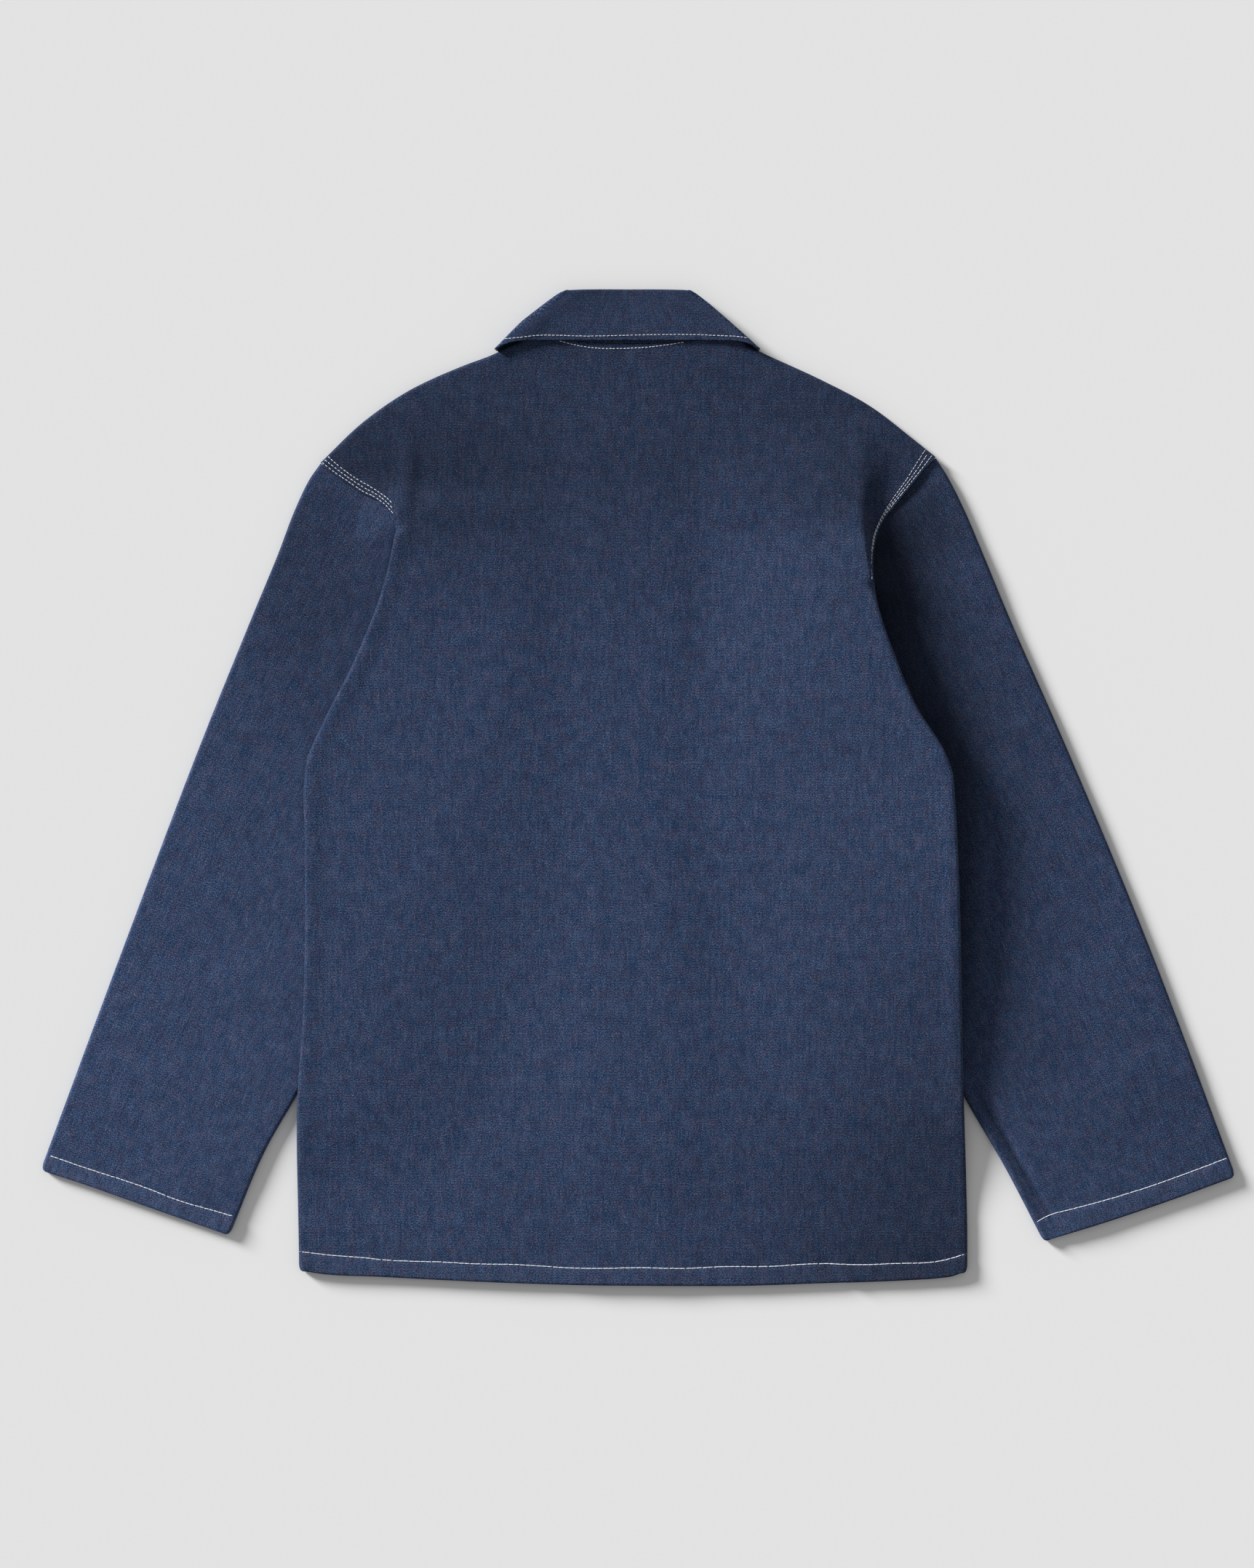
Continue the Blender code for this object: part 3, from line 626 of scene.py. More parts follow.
# Painted shade and light of the body: y and tone, then soft patches of x, y, width, height and amount
TONE_BY_HEIGHT = ((-400, 0.80), (-340, 0.91), (-200, 0.95), (0, 0.93), (100, 0.89), (180, 0.77),
                  (250, 0.62), (360, 0.62))
BACK_TONES = (
    (-60, 200, 55, 90, -0.06),
    (60, 200, 70, 90, 0.04),
    (85, 104, 45, 60, -0.06),
    (-200, 250, 70, 50, -0.26),
    (-125, 240, 50, 50, -0.10),
    (165, 240, 50, 60, -0.22),
    (158, -50, 60, 180, -0.14),
    (-190, -310, 60, 70, 0.10),
    (250, -300, 120, 190, -0.30),
    (220, -380, 100, 60, -0.18),
    (120, -330, 110, 90, -0.06),
)


def body_tone(x, y):
    """Painted shade and light on the body's cloth, as a tone."""
    heights = np.array(TONE_BY_HEIGHT)
    return np.interp(y, heights[:, 0], heights[:, 1]) * patches(x, y, BACK_TONES)


def flank(x, y, seam, fold, sign, end, steep):
    """0 at an armhole seam, rising to 1 at the body's fold line, and 1 inside it and below the seam's end.

    The rise is steep at the fold line where steep is 1, and at the seam where it is 0.
    """
    to_seam, _ = off_line(x, y, seam)
    to_fold, side = off_line(x, y, fold)
    share = to_seam / (to_seam + to_fold + 1e-6)
    rise = (1 - steep) * (1 - (1 - share) ** 2) + steep * (0.15 * share + 0.85 * ease((share - 0.35) / 0.65))
    slope = np.where(side * sign < 0, rise, 1.0)
    return 1 - (1 - slope) * ease((y - end + 36) / 70)


def body_lift(x, y):
    """The fronts' height, with both armholes brought down to the sleeves."""
    return lift(x, y) - raised_side(x, y) * (1 - flank(x, y, *RIGHT_FLANK))


def fold_ridges(x, y):
    """Soft ridges where the stiff cloth turns over the sleeves."""
    left_line = FOLD_LEFT[:-1] + tuple((px + 5, py) for px, py in SIDE_LEFT[1:])
    right_line = FOLD_RIGHT[:-1] + tuple((px - 5, py) for px, py in SIDE_RIGHT[1:])
    left, _ = off_line(x, y, left_line)
    right, _ = off_line(x, y, right_line)
    fade = faded(y, *FOLD_FADE) * ease((300 - y) / 40)
    left_height, right_height = FOLD_HEIGHTS
    return (left_height * (1 - ease(left / FOLD_HALF)) + right_height * (1 - ease(right / FOLD_HALF))) * fade


def back_height(x, y):
    """The back's right side."""
    inner = lift(x, y, BACK_RAMP) + FLAT + BACK_STEP * overlap(x) * ease((332 - y) / 60)
    inner = inner + sum(ridge(x, y, fold) for fold in BACK_FOLDS) + fold_ridges(x, y)
    for height, length, seed in BACK_WAVES:
        inner = inner + height * ripple(x, y, length, seed)
    seam = np.maximum(SEAM_LEAST, body_lift(x, y) + SEAM_OVER)
    return seam + (inner - seam) * flank(x, y, *LEFT_FLANK) * flank(x, y, *RIGHT_FLANK)


print(f"back: {len(BACK_FOLDS)} folds, {len(BACK_TONES)} patches of tone")

# %%
# The back's grid and edges
ARM_ROWS = 25  # rows of points beside an armhole
SIDE_ROWS = 152  # and beside a side, down to the hem
NEAR_END, NEAR_ROWS = 18, 19  # the last stretch of a side or sleeve, in mm, and its closer rows
SHOULDER_COLUMNS = 50
NECK_COLUMNS = 46
LINES = 12  # lines past an edge that rolls or is turned
CORNER = 7  # a hem's corners are rounded over this much
FLAT_SPAN = 2.5  # how far a shoulder's flat edge goes on
FAR = 99.0  # a distance from the hem that stands for none
ROLL_OVER = 6.0  # rows or columns over which a roll begins or ends
ROLL_UNTIL = 43  # the left shoulder is rolled up to this column
HEM_SEED = 11
EDGE_SHADE = 0.34  # painted along the body's left edge
EDGE_HIGHLIGHT = 0.25  # painted highlight along its right edge
HEM_HIGHLIGHT = 0.36  # painted highlight on the hem's turning


def close_to_end(long, rows):
    """Lengths down a side, close together over its last stretch."""
    last = np.linspace(long - NEAR_END, long, NEAR_ROWS)[1:]
    return np.concatenate([np.linspace(0, long - NEAR_END, rows), last])


def rounded(gap, most):
    """How far an edge draws in near a hem's corner, by the distance from the hem."""
    return most * (1 - np.sqrt(1 - np.clip(1 - gap / CORNER, 0, 1) ** 2))


def side_points(armhole, side):
    """Points down one side of the body, and each one's distance from the hem."""
    arm, down = smooth(armhole), smooth(side)
    long = travelled(down)[-1]
    lengths = close_to_end(long, SIDE_ROWS)
    start = np.linspace(ROLL, travelled(arm)[-1], ARM_ROWS + 1)[:-1]
    return np.vstack([sample(arm, start), sample(down, lengths)]), len(start), long - lengths


def joined(axis, first, last, count=8):
    """The line, eased over its first and last points so that its ends come to the given ones."""
    share = np.arange(len(axis))
    near_first = (1 - ease(share / count))[:, None]
    near_last = (1 - ease(share[::-1] / count))[:, None]
    return axis + (first - axis[0]) * near_first + (last - axis[-1]) * near_last


def turned(normals, tangent, count=10):
    """Normals that start along a given direction, and as long as they must be to reach the same line."""
    near = (1 - ease(np.arange(len(normals)) / count))[:, None]
    mixed_way = normals * (1 - near) + tangent * near
    mixed_way /= np.linalg.norm(mixed_way, axis=1)[:, None]
    return mixed_way / (mixed_way * normals).sum(1)[:, None]


rows, columns = ARM_ROWS + SIDE_ROWS + NEAR_ROWS - 1, 2 * SHOULDER_COLUMNS + NECK_COLUMNS - 2
print(f"grid of the back: {rows} rows, {columns} columns, and {LINES} lines past each edge that rolls")


# %%
# The back
def make_back():
    """The back's shell."""
    left, arm_rows, gap = side_points(ARMHOLE_LEFT, SIDE_LEFT)
    right, _, _ = side_points(ARMHOLE_RIGHT, SIDE_RIGHT)
    rolls = np.concatenate([np.zeros(arm_rows), ease(np.arange(len(left) - arm_rows) / ROLL_OVER)])
    shoulders = [smooth(s) for s in (SHOULDER_LEFT[::-1], SHOULDER_RIGHT)]
    long = [travelled(s)[-1] for s in shoulders]
    fell = float(roll_reach(np.zeros(1))[0])
    from_left = sample(shoulders[0], np.linspace(fell, long[0], SHOULDER_COLUMNS))
    from_right = sample(shoulders[1], np.linspace(0, long[1] - fell, SHOULDER_COLUMNS))
    ends = [shoulders[0][0] - from_left[0], shoulders[1][-1] - from_right[-1]]
    ends = [end / np.linalg.norm(end) for end in ends]
    left_normal, right_normal = turned(outward(left, -1), ends[0]), turned(outward(right, 1), ends[1])
    to_hem = np.concatenate([np.full(arm_rows, FAR), gap])[:, None]
    reach = roll_reach(rolls)[:, None] + rounded(to_hem, 2.5)
    left_axis, right_axis = left - left_normal * reach, right - right_normal * reach
    top = np.vstack([from_left, spline(NECK_BACK, NECK_COLUMNS)[1:-1], from_right])
    steps = np.arange(SHOULDER_COLUMNS)
    level = np.zeros(NECK_COLUMNS - 2)
    top_rolls = np.concatenate([1 - ease((steps - ROLL_UNTIL) / ROLL_OVER), level, ease(steps / ROLL_OVER)])
    top_span = FLAT_SPAN + (SPAN - FLAT_SPAN) * top_rolls
    top_normal = outward(top, 1)
    top_axis = top - top_normal * roll_reach(top_rolls, top_span)[:, None]
    top_axis = joined(top_axis, left_axis[0], right_axis[0])
    share = travelled(top) / travelled(top)[-1]
    hem = smooth(HEM)
    bottom = joined(sample(hem, share * travelled(hem)[-1]), left_axis[-1], right_axis[-1])
    down = (travelled(left) / travelled(left)[-1] + travelled(right) / travelled(right)[-1]) / 2
    plan = patch(left_axis, right_axis, top_axis, bottom, down, share)
    z = back_height(plan[..., 0], plan[..., 1])
    middle = np.dstack([plan, z, plan])
    lap = LAP * (1 - rolls)
    left_lines = rolled(left_axis, left_normal, back_height, rolls, lap, LINES)
    right_lines = rolled(right_axis, right_normal, back_height, rolls, lap, LINES)
    body = np.concatenate([np.stack(left_lines[::-1], 1), middle, np.stack(right_lines, 1)], 1)
    facing = np.maximum(np.cos(np.minimum(np.arange(1, LINES + 1) / LINES * SPAN / ROLL, math.pi)), 0)
    facing = np.concatenate([facing[::-1], np.ones(len(share)), facing])
    above = above_row(body[..., 0], body[..., 1], HEM_ROW)
    body[..., 2] += facing * hem_profile(to_hem, above, body[..., 3], HEM_SEED)
    tops = []
    for line in rolled(top_axis, top_normal, back_height, top_rolls, 0 * top_rolls, LINES, top_span):
        shift = line - middle[0]
        shift[:, 2] = line[:, 2] - back_height(top_axis[:, 0], top_axis[:, 1])
        first, last = body[0, :LINES] + shift[0], body[0, -LINES:] + shift[-1]
        tops.append(np.concatenate([first, body[0, LINES:-LINES] + shift, last]))
    skin = np.concatenate([np.stack(tops[::-1]), body])
    walls = np.concatenate([np.full(LINES, DENIM), np.where(to_hem[:, 0] < HEM_DEPTH, HEM_WALL, DENIM)])
    x, y = skin[..., 3], skin[..., 4]
    across = np.arange(skin.shape[1])
    rolled_rows = np.concatenate([np.zeros(LINES), rolls])[:, None]
    left_edge = np.exp(-(((across - 7.0) / 4.0) ** 2))[None, :] * rolled_rows
    right_edge = np.exp(-(((across[::-1] - 9.0) / 3.0) ** 2))[None, :] * rolled_rows
    # Painted shade over the body, darker still along its left edge
    tone = body_tone(x, y) * (1 - EDGE_SHADE * left_edge)
    # Painted highlight along the body's right edge and on the hem's turning
    turning = 1 - ease((above_row(x, y, HEM_ROW) + 2.0) / 2.0)
    painted_highlight = EDGE_HIGHLIGHT * right_edge + HEM_HIGHLIGHT * turning
    return shell("back_cloth", skin[..., :3], walls[:, None], CLOTH, (x, y), tone, painted_highlight, flip=True)


back = make_back()
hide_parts("back")

# %% [markdown]
# ## The sleeves
#
# Each sleeve is one tube, sewn down the underarm and laid flat, so that it folds along two edges. It
# is a closed grid: the upper side, a half-round fold, the lower side and the other fold. The head
# goes under the felled edge of the back, and part of the tube is hidden under the body. The cuff is
# a turned hem like the one at the bottom.

# %%
# The sleeves' outlines and cuff stitches
SLEEVE_LEFT_OUTER = ((-249, 254.5), (-258, 241), (-269, 218), (-282, 184), (-301, 138), (-338, 47),
                     (-399, -113), (-468.5, -300))
SLEEVE_RIGHT_OUTER = ((233, 259), (244, 241), (255.5, 218), (270, 184), (289, 138), (329, 47), (396, -113),
                      (468.5, -305))
CUFF_LEFT = ((-468.5, -300), (-438, -310), (-384.5, -329), (-320.5, -351.5))
CUFF_RIGHT = ((468.5, -305), (410, -326.5), (367.5, -341), (318, -356.5))
CUFF_ROW_LEFT = ((-464.3, -287.6), (-438, -296.7), (-384.5, -314.4), (-361.1, -323.5), (-332, -332),
                 (-313.8, -337.2))
CUFF_ROW_RIGHT = ((309.2, -342.3), (323.5, -334.9), (341.1, -330.3), (368.5, -322.9), (394.7, -314.9),
                  (425.5, -304.1), (464.8, -289.3))
print(f"sleeve outlines: {len(SLEEVE_LEFT_OUTER)} and {len(SLEEVE_RIGHT_OUTER)} points outside, cuffs 4 each")

# %%
# Folds of the sleeves, and their painted shade and light
# x and y at both ends, half width, height
SLEEVE_LEFT_FOLDS = (
    (-262, 225, -215, 205, 14, -0.8),
    (-330, 60, -250, 20, 26, 0.6),
    (-395, -110, -300, -150, 30, -0.8),
    (-430, -215, -330, -240, 26, 0.6),
)
SLEEVE_RIGHT_FOLDS = (
    (232, 250, 206, 222, 13, -1.4),
    (330, 60, 262, 30, 26, 0.6),
    (390, -100, 300, -150, 30, -0.8),
    (430, -215, 330, -245, 26, 0.6),
    (262, -228, 328, -352, 9, -2.0),
    (252, -238, 318, -356, 8, 0.8),
)
# x, y, width, height, amount
SLEEVE_LEFT_TONES = (
    (-258, 175, 90, 130, -0.34),
    (-400, -220, 120, 150, 0.08),
)
SLEEVE_RIGHT_TONES = (
    (330, -20, 400, 900, -0.12),
    (240, 200, 60, 70, -0.10),
    (300, 20, 40, 130, -0.14),
    (440, -270, 90, 80, -0.10),
    (300, -205, 50, 45, -0.12),
)
# Painted shade along the underarm seam's crease near the right cuff, given as a fold whose height is its
# darkening
CREASE_SHADE = (264, -236, 328, -347, 3.5, -0.55)
# Painted shade beside the body's raised side: y, how much darker, and how wide
HOLLOW = ((262, 0, 20), (238, 0.42, 38), (190, 0.80, 88), (150, 0.78, 98), (100, 0.62, 102), (50, 0.62, 72),
          (0, 0.50, 38), (-60, 0.44, 26), (-130, 0.36, 22), (-190, 0.12, 16), (-240, 0, 16))
print(f"painted shade beside the raised side: up to {max(deep for _, deep, _ in HOLLOW):.0%} darker")


# %%
# A sleeve's height
SEAM_RISE = {1: 34, -1: 55}  # how far past its armhole a sleeve's head comes down, right and left
UNDER_LEAST = 6.2  # the hidden part of a sleeve is at least this high
UNDER_CLEAR = 0.6  # and this far under the front
SLEEVE_WAVES = ((0.35, 90.0, 21), (0.10, 30.0, 31))  # height, length and seed


def seam_top(armhole):
    """Points down an armhole seam, each with the height of a sleeve that goes under the back's edge there."""
    seam = spline(armhole, 70)
    return seam, back_height(seam[:, 0], seam[:, 1]) - DENIM - 0.25


def sleeve_height(sign, armhole, side, folds):
    """A function for the height of a sleeve's upper side."""
    seam, tops = seam_top(armhole)
    side = ((armhole[-1][0], 400),) + side

    def height(x, y):
        off = np.hypot(x[..., None] - seam[:, 0], y[..., None] - seam[:, 1])
        near = off.argmin(-1)
        rise = (tops[near] - FLAT) * (1 - ease(off.min(-1) / SEAM_RISE[sign])) ** 1.3
        to_side, over = off_line(x, y, side)
        hidden = ease(to_side * over * sign / 9) * ease((off.min(-1) - 1) / 6)
        z = FLAT + sum(ridge(x, y, fold) for fold in folds)
        waves = sum(high * ripple(x, y, length, seed + sign) for high, length, seed in SLEEVE_WAVES)
        z = z + waves * ease(off.min(-1) / 25)
        shown = z + rise
        under = np.maximum(UNDER_LEAST, body_lift(x, y) - UNDER_CLEAR)
        filled = ease((y - 10) / 90) if sign > 0 else 0.0
        tucked = np.minimum(shown, under) * (1 - filled) + under * filled
        return shown * (1 - hidden) + tucked * hidden

    return height


for side, armhole in (("left", ARMHOLE_LEFT), ("right", ARMHOLE_RIGHT)):
    print(f"{side} sleeve under its armhole: up to {seam_top(armhole)[1].max():.1f} mm high")

# %%
# Sleeves
SLEEVE_COLUMNS = 84
SLEEVE_ROWS = 172
HALF_ROUND = 12  # steps round a folded edge
HOLLOW_START = 5  # the painted shade is full this far from the body's edge
CUFF_SEED = 41
FOLD_HIGHLIGHT = 0.15  # painted highlight along a sleeve's two folds
CUFF_HIGHLIGHT = 0.32  # painted highlight on the cuff's turning


def make_sleeve(name, sign, outer, inner, cuff, cuff_row, armhole, side, folds, tones):
    """A sleeve's shell."""
    height = sleeve_height(sign, armhole, side, folds)
    seam = smooth(armhole)
    seam = seam + outward(seam, sign) * SEAM
    head_line = np.vstack([seam, smooth((seam[-1], inner[0]), 300)[1:]])
    head = sample(head_line, np.linspace(ROLL, travelled(head_line)[-1] - ROLL, SLEEVE_COLUMNS))
    cuff_line = smooth(cuff)
    end = sample(cuff_line, np.linspace(ROLL, travelled(cuff_line)[-1] - ROLL, SLEEVE_COLUMNS))
    sides = []
    for k, (points, direction) in enumerate(((outer, sign), (inner, -sign))):
        curve = smooth(points)
        long = travelled(curve)[-1]
        lengths = close_to_end(long, SLEEVE_ROWS)
        line = sample(curve, lengths)
        normal = outward(line, direction)
        axis = joined(line - normal * ROLL, head[-k], end[-k])
        if k == 0:
            axis = axis - normal * 0.3 * (1 - ease(lengths / 14))[:, None]
        axis = axis - normal * rounded(long - lengths, 3.0)[:, None]
        sides.append((axis, normal, long - lengths))
    (outer_axis, outer_normal, gap), (inner_axis, inner_normal, _) = sides
    shares = [travelled(axis) / travelled(axis)[-1] for axis in (outer_axis, inner_axis)]
    down = (shares[0] + shares[1]) / 2
    share = travelled(head) / travelled(head)[-1]
    plan = patch(outer_axis, inner_axis, head, end, down, share)
    x, y = plan[..., 0], plan[..., 1]
    top = height(x, y)
    turns = []
    for axis, normal, edge in ((inner_axis, inner_normal, top[:, -1]), (outer_axis, outer_normal, top[:, 0])):
        lines = []
        for step in range(1, HALF_ROUND):
            turn = math.pi * step / HALF_ROUND
            place = axis + normal * ROLL * math.sin(turn)
            lines.append(np.column_stack([place, edge * (1 + math.cos(turn)) / 2]))
        turns.append(np.stack(lines, 1))
    lower = np.dstack([plan, np.zeros_like(x)])[:, ::-1][:, ::2]
    upper = np.dstack([plan, top])
    skin = np.concatenate([upper, turns[0], lower, turns[1][:, ::-1]], 1)
    steps = np.linalg.norm(np.diff(skin, axis=1), axis=2)
    arc = np.concatenate([np.zeros((len(skin), 1)), np.cumsum(steps, axis=1)], 1)
    across = arc - arc[:, SLEEVE_COLUMNS // 2][:, None]
    along = np.broadcast_to((-down * travelled(outer_axis)[-1])[:, None], across.shape)
    above = above_row(skin[..., 0], skin[..., 1], cuff_row)
    band = hem_profile(gap[:, None], above, across, CUFF_SEED + sign)
    round_facing = np.cos(math.pi * np.arange(1, HALF_ROUND) / HALF_ROUND)
    facing = np.concatenate([np.ones(SLEEVE_COLUMNS), round_facing, np.zeros(lower.shape[1]), -round_facing])
    skin[..., 2] += band * np.maximum(facing, 0)[None, :]
    walls = np.where(gap < HEM_DEPTH, HEM_WALL, DENIM)[:, None]
    # Painted shade and light of the sleeve
    tone = patches(skin[..., 0], skin[..., 1], tones)
    if sign > 0:
        # Painted shade beside the body's raised side, darkening the right sleeve where its shadow falls
        beside, _ = off_line(skin[..., 0], skin[..., 1], armhole + side[1:])
        hollow = np.array(HOLLOW[::-1])
        deep, wide = (np.interp(skin[..., 1], hollow[:, 0], hollow[:, k]) for k in (1, 2))
        tone = tone * (1 - deep * (1 - ease((beside - HOLLOW_START) / (wide - HOLLOW_START))))
        # Painted shade along the underarm seam's crease
        tone = tone * (1 + ridge(skin[..., 0], skin[..., 1], CREASE_SHADE))
    # Painted highlight along the sleeve's two folds and on the cuff's turning
    edge = np.zeros(skin.shape[1])
    for middle in (SLEEVE_COLUMNS + 4, skin.shape[1] - 7):
        edge += np.exp(-(((np.arange(skin.shape[1]) - middle) / 3.0) ** 2))
    turning = (1 - ease((above + 2.0) / 2.0)) * (gap < 30)[:, None]
    painted_highlight = FOLD_HIGHLIGHT * edge[None, :] + CUFF_HIGHLIGHT * turning
    return shell(name, skin, walls, CLOTH, (across, along), tone, painted_highlight, closed=True, flip=sign < 0)


sleeve_left = make_sleeve("sleeve_left_cloth", -1, SLEEVE_LEFT_OUTER, SLEEVE_LEFT_INNER, CUFF_LEFT,
                          CUFF_ROW_LEFT, ARMHOLE_LEFT, SIDE_LEFT, SLEEVE_LEFT_FOLDS, SLEEVE_LEFT_TONES)
sleeve_right = make_sleeve("sleeve_right_cloth", 1, SLEEVE_RIGHT_OUTER, SLEEVE_RIGHT_INNER, CUFF_RIGHT,
                           CUFF_ROW_RIGHT, ARMHOLE_RIGHT, SIDE_RIGHT, SLEEVE_RIGHT_FOLDS, SLEEVE_RIGHT_TONES)
for piece, name in ((sleeve_left, "sleeve_left"), (sleeve_right, "sleeve_right")):
    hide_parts(name)

# %% [markdown]
# ## The fronts
#
# Both fronts lie under the back, with the right one on the left one where they overlap. Little of
# them shows, apart from their edges, so they are simple shells at the right heights.


# %%
# Fronts
NECK_FRONT_LEFT = ((-85, 354), (-64, 322), (-38, 298), (-5, 286), (15, 285))
NECK_FRONT_RIGHT = ((76, 352), (54, 320), (28, 297), (-5, 286), (-25, 285))
FRONT_COLUMNS = 24  # across a shoulder, and across the neck
FRONT_TUCK = ROLL + TAIL + 0.3  # how far a front's edge stays inside a rolled edge of the back
FRONT_LEAST = 1.6  # and everywhere else beside a sleeve
HEM_MIDDLE = -390.3


def make_front(name, sign, shoulder, armhole, side, neck):
    """A front's shell."""
    outer, arm_rows, gap = side_points(armhole, side)
    near = len(outer) - NEAR_ROWS
    kept = np.arange(0, arm_rows, 2), np.arange(arm_rows, near, 3), np.arange(near, len(outer), 3)
    keep = np.concatenate(kept)
    outer, gap = outer[keep], gap[np.clip(keep - arm_rows, 0, None)]
    arm = int((keep < arm_rows).sum())
    gap[:arm] = FAR
    rolls = np.concatenate([np.zeros(arm), ease(np.arange(len(outer) - arm) / 2.0)])
    inset = np.maximum(SEAM + FRONT_LEAST, SEAM + FRONT_TUCK * np.minimum(1, rolls * 1.2))
    outer = outer - outward(outer, sign) * inset[:, None]
    shoulder = spline(shoulder[::-1], FRONT_COLUMNS)
    steps = ease(np.arange(FRONT_COLUMNS) / 3.0)
    shoulder_roll = np.minimum(steps, steps[::-1])
    shoulder = shoulder - outward(shoulder, -sign) * (SEAM + FRONT_TUCK * shoulder_roll)[:, None]
    neck = spline(neck, FRONT_COLUMNS)
    neck = neck + (shoulder[-1] - neck[0]) * np.linspace(1, 0, FRONT_COLUMNS)[:, None]
    top = np.vstack([shoulder, neck[1:]])
    top = joined(top, outer[0], top[-1], 4)
    edge_x = CENTRE - sign * OVERLAP
    hem = [p for p in HEM[1:-1] if (p[0] - edge_x) * sign > 20]
    hem.sort(key=lambda p: -abs(p[0] - CENTRE))
    bottom = spline([outer[-1], *hem, (edge_x, HEM_MIDDLE)], len(top))
    down = travelled(outer) / travelled(outer)[-1]
    edge_y = top[-1, 1] + (bottom[-1, 1] - top[-1, 1]) * down
    edge = np.column_stack([np.full(len(down), edge_x), edge_y])
    plan = patch(outer, edge, top, bottom, down, travelled(top) / travelled(top)[-1])
    x, y = plan[..., 0], plan[..., 1]
    z = body_lift(x, y) + (INNER_FRONT_STEP * overlap(x) if sign > 0 else 0)
    walls = np.where(gap < HEM_DEPTH, HEM_WALL, DENIM)[:, None]
    return shell(name, np.dstack([plan, z]), walls, CLOTH, (x, y), 1.0, flip=sign > 0)


front_left = make_front("front_left_cloth", -1, SHOULDER_LEFT, ARMHOLE_LEFT, SIDE_LEFT, NECK_FRONT_LEFT)
front_right = make_front("front_right_cloth", 1, SHOULDER_RIGHT, ARMHOLE_RIGHT, SIDE_RIGHT, NECK_FRONT_RIGHT)
for piece, name in ((front_left, "front_left"), (front_right, "front_right")):
    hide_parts(name)

# %% [markdown]
# ## The collar
#
# A strip of two plies, folded along its length: the stand goes up from the neck seam, and the leaf
# comes back down over it. At the sides of the neck the whole strip turns under, towards the two
# front ends. The grid has one line for each step from the leaf's edge, over the fold, to the seam.

# %%
# The collar's sizes
COLLAR_WALL = 2.0  # two plies
COLLAR_FOLD_WALL = 1.2  # the same, pressed at the fold
COLLAR_FOLD_ROWS = (20, 34)  # its lines between these
COLLAR_MIDDLE = 5.5  # height of the plane that it is folded round
LEAF_REACH = 5.5  # the leaf's outer face from that plane
STAND_REACH = 0.7  # the stand's neck side from it
LEAF_FLAT = 0.45  # how far the leaf's edge keeps that reach where it turns down
COLLAR_SLANT = (0.644, 0.765)  # the way that its slanted sides face, out and up
COLLAR_CORNER_LIFT = 2.4
COLLAR_SAG = 3.0  # how far the fold sinks between its two ends
COLLAR_TONE = 0.65  # painted shade
LEAF_EDGE = ((-7, 350.3), (-112.6, 345.4), (-54, 236))
LEAF_EDGE_RIGHT = ((-7, 350.3), (95.5, 345.4), (44, 236))
FOLD_EDGE = ((-7, 392.1), (-56, 392.1), (-9, 308))
FOLD_EDGE_RIGHT = ((-7, 392.1), (40.5, 392.1), (-1, 308))
# How far the leaf's edge drops towards each corner, by its share of the way, and the outline above it
LEAF_DROP = ((0, 0), (0.66, 0), (0.80, 0.5), (0.89, 1.7), (0.95, 3.6), (1, 6.6))
COLLAR_TOP = ((-125, 330.8), (-112.6, 343.4), (-90.9, 365.7), (-75, 377.9), (-66, 384.6), (-61.5, 387.4),
              (-57, 389.3), (-52, 390.4), (-44, 390.6), (-8, 390.0), (30, 390.4), (36.5, 390.3),
              (40.5, 389.4), (44.4, 387.4), (48.5, 384.4), (56.7, 377.9), (70.4, 365.9), (95.5, 343.4),
              (110, 330.5))
NECK_MIDDLE = NECK_BACK.index((-7, 347))
print(f"collar: {COLLAR_WALL} mm thick, folded round a plane {COLLAR_MIDDLE} mm up")


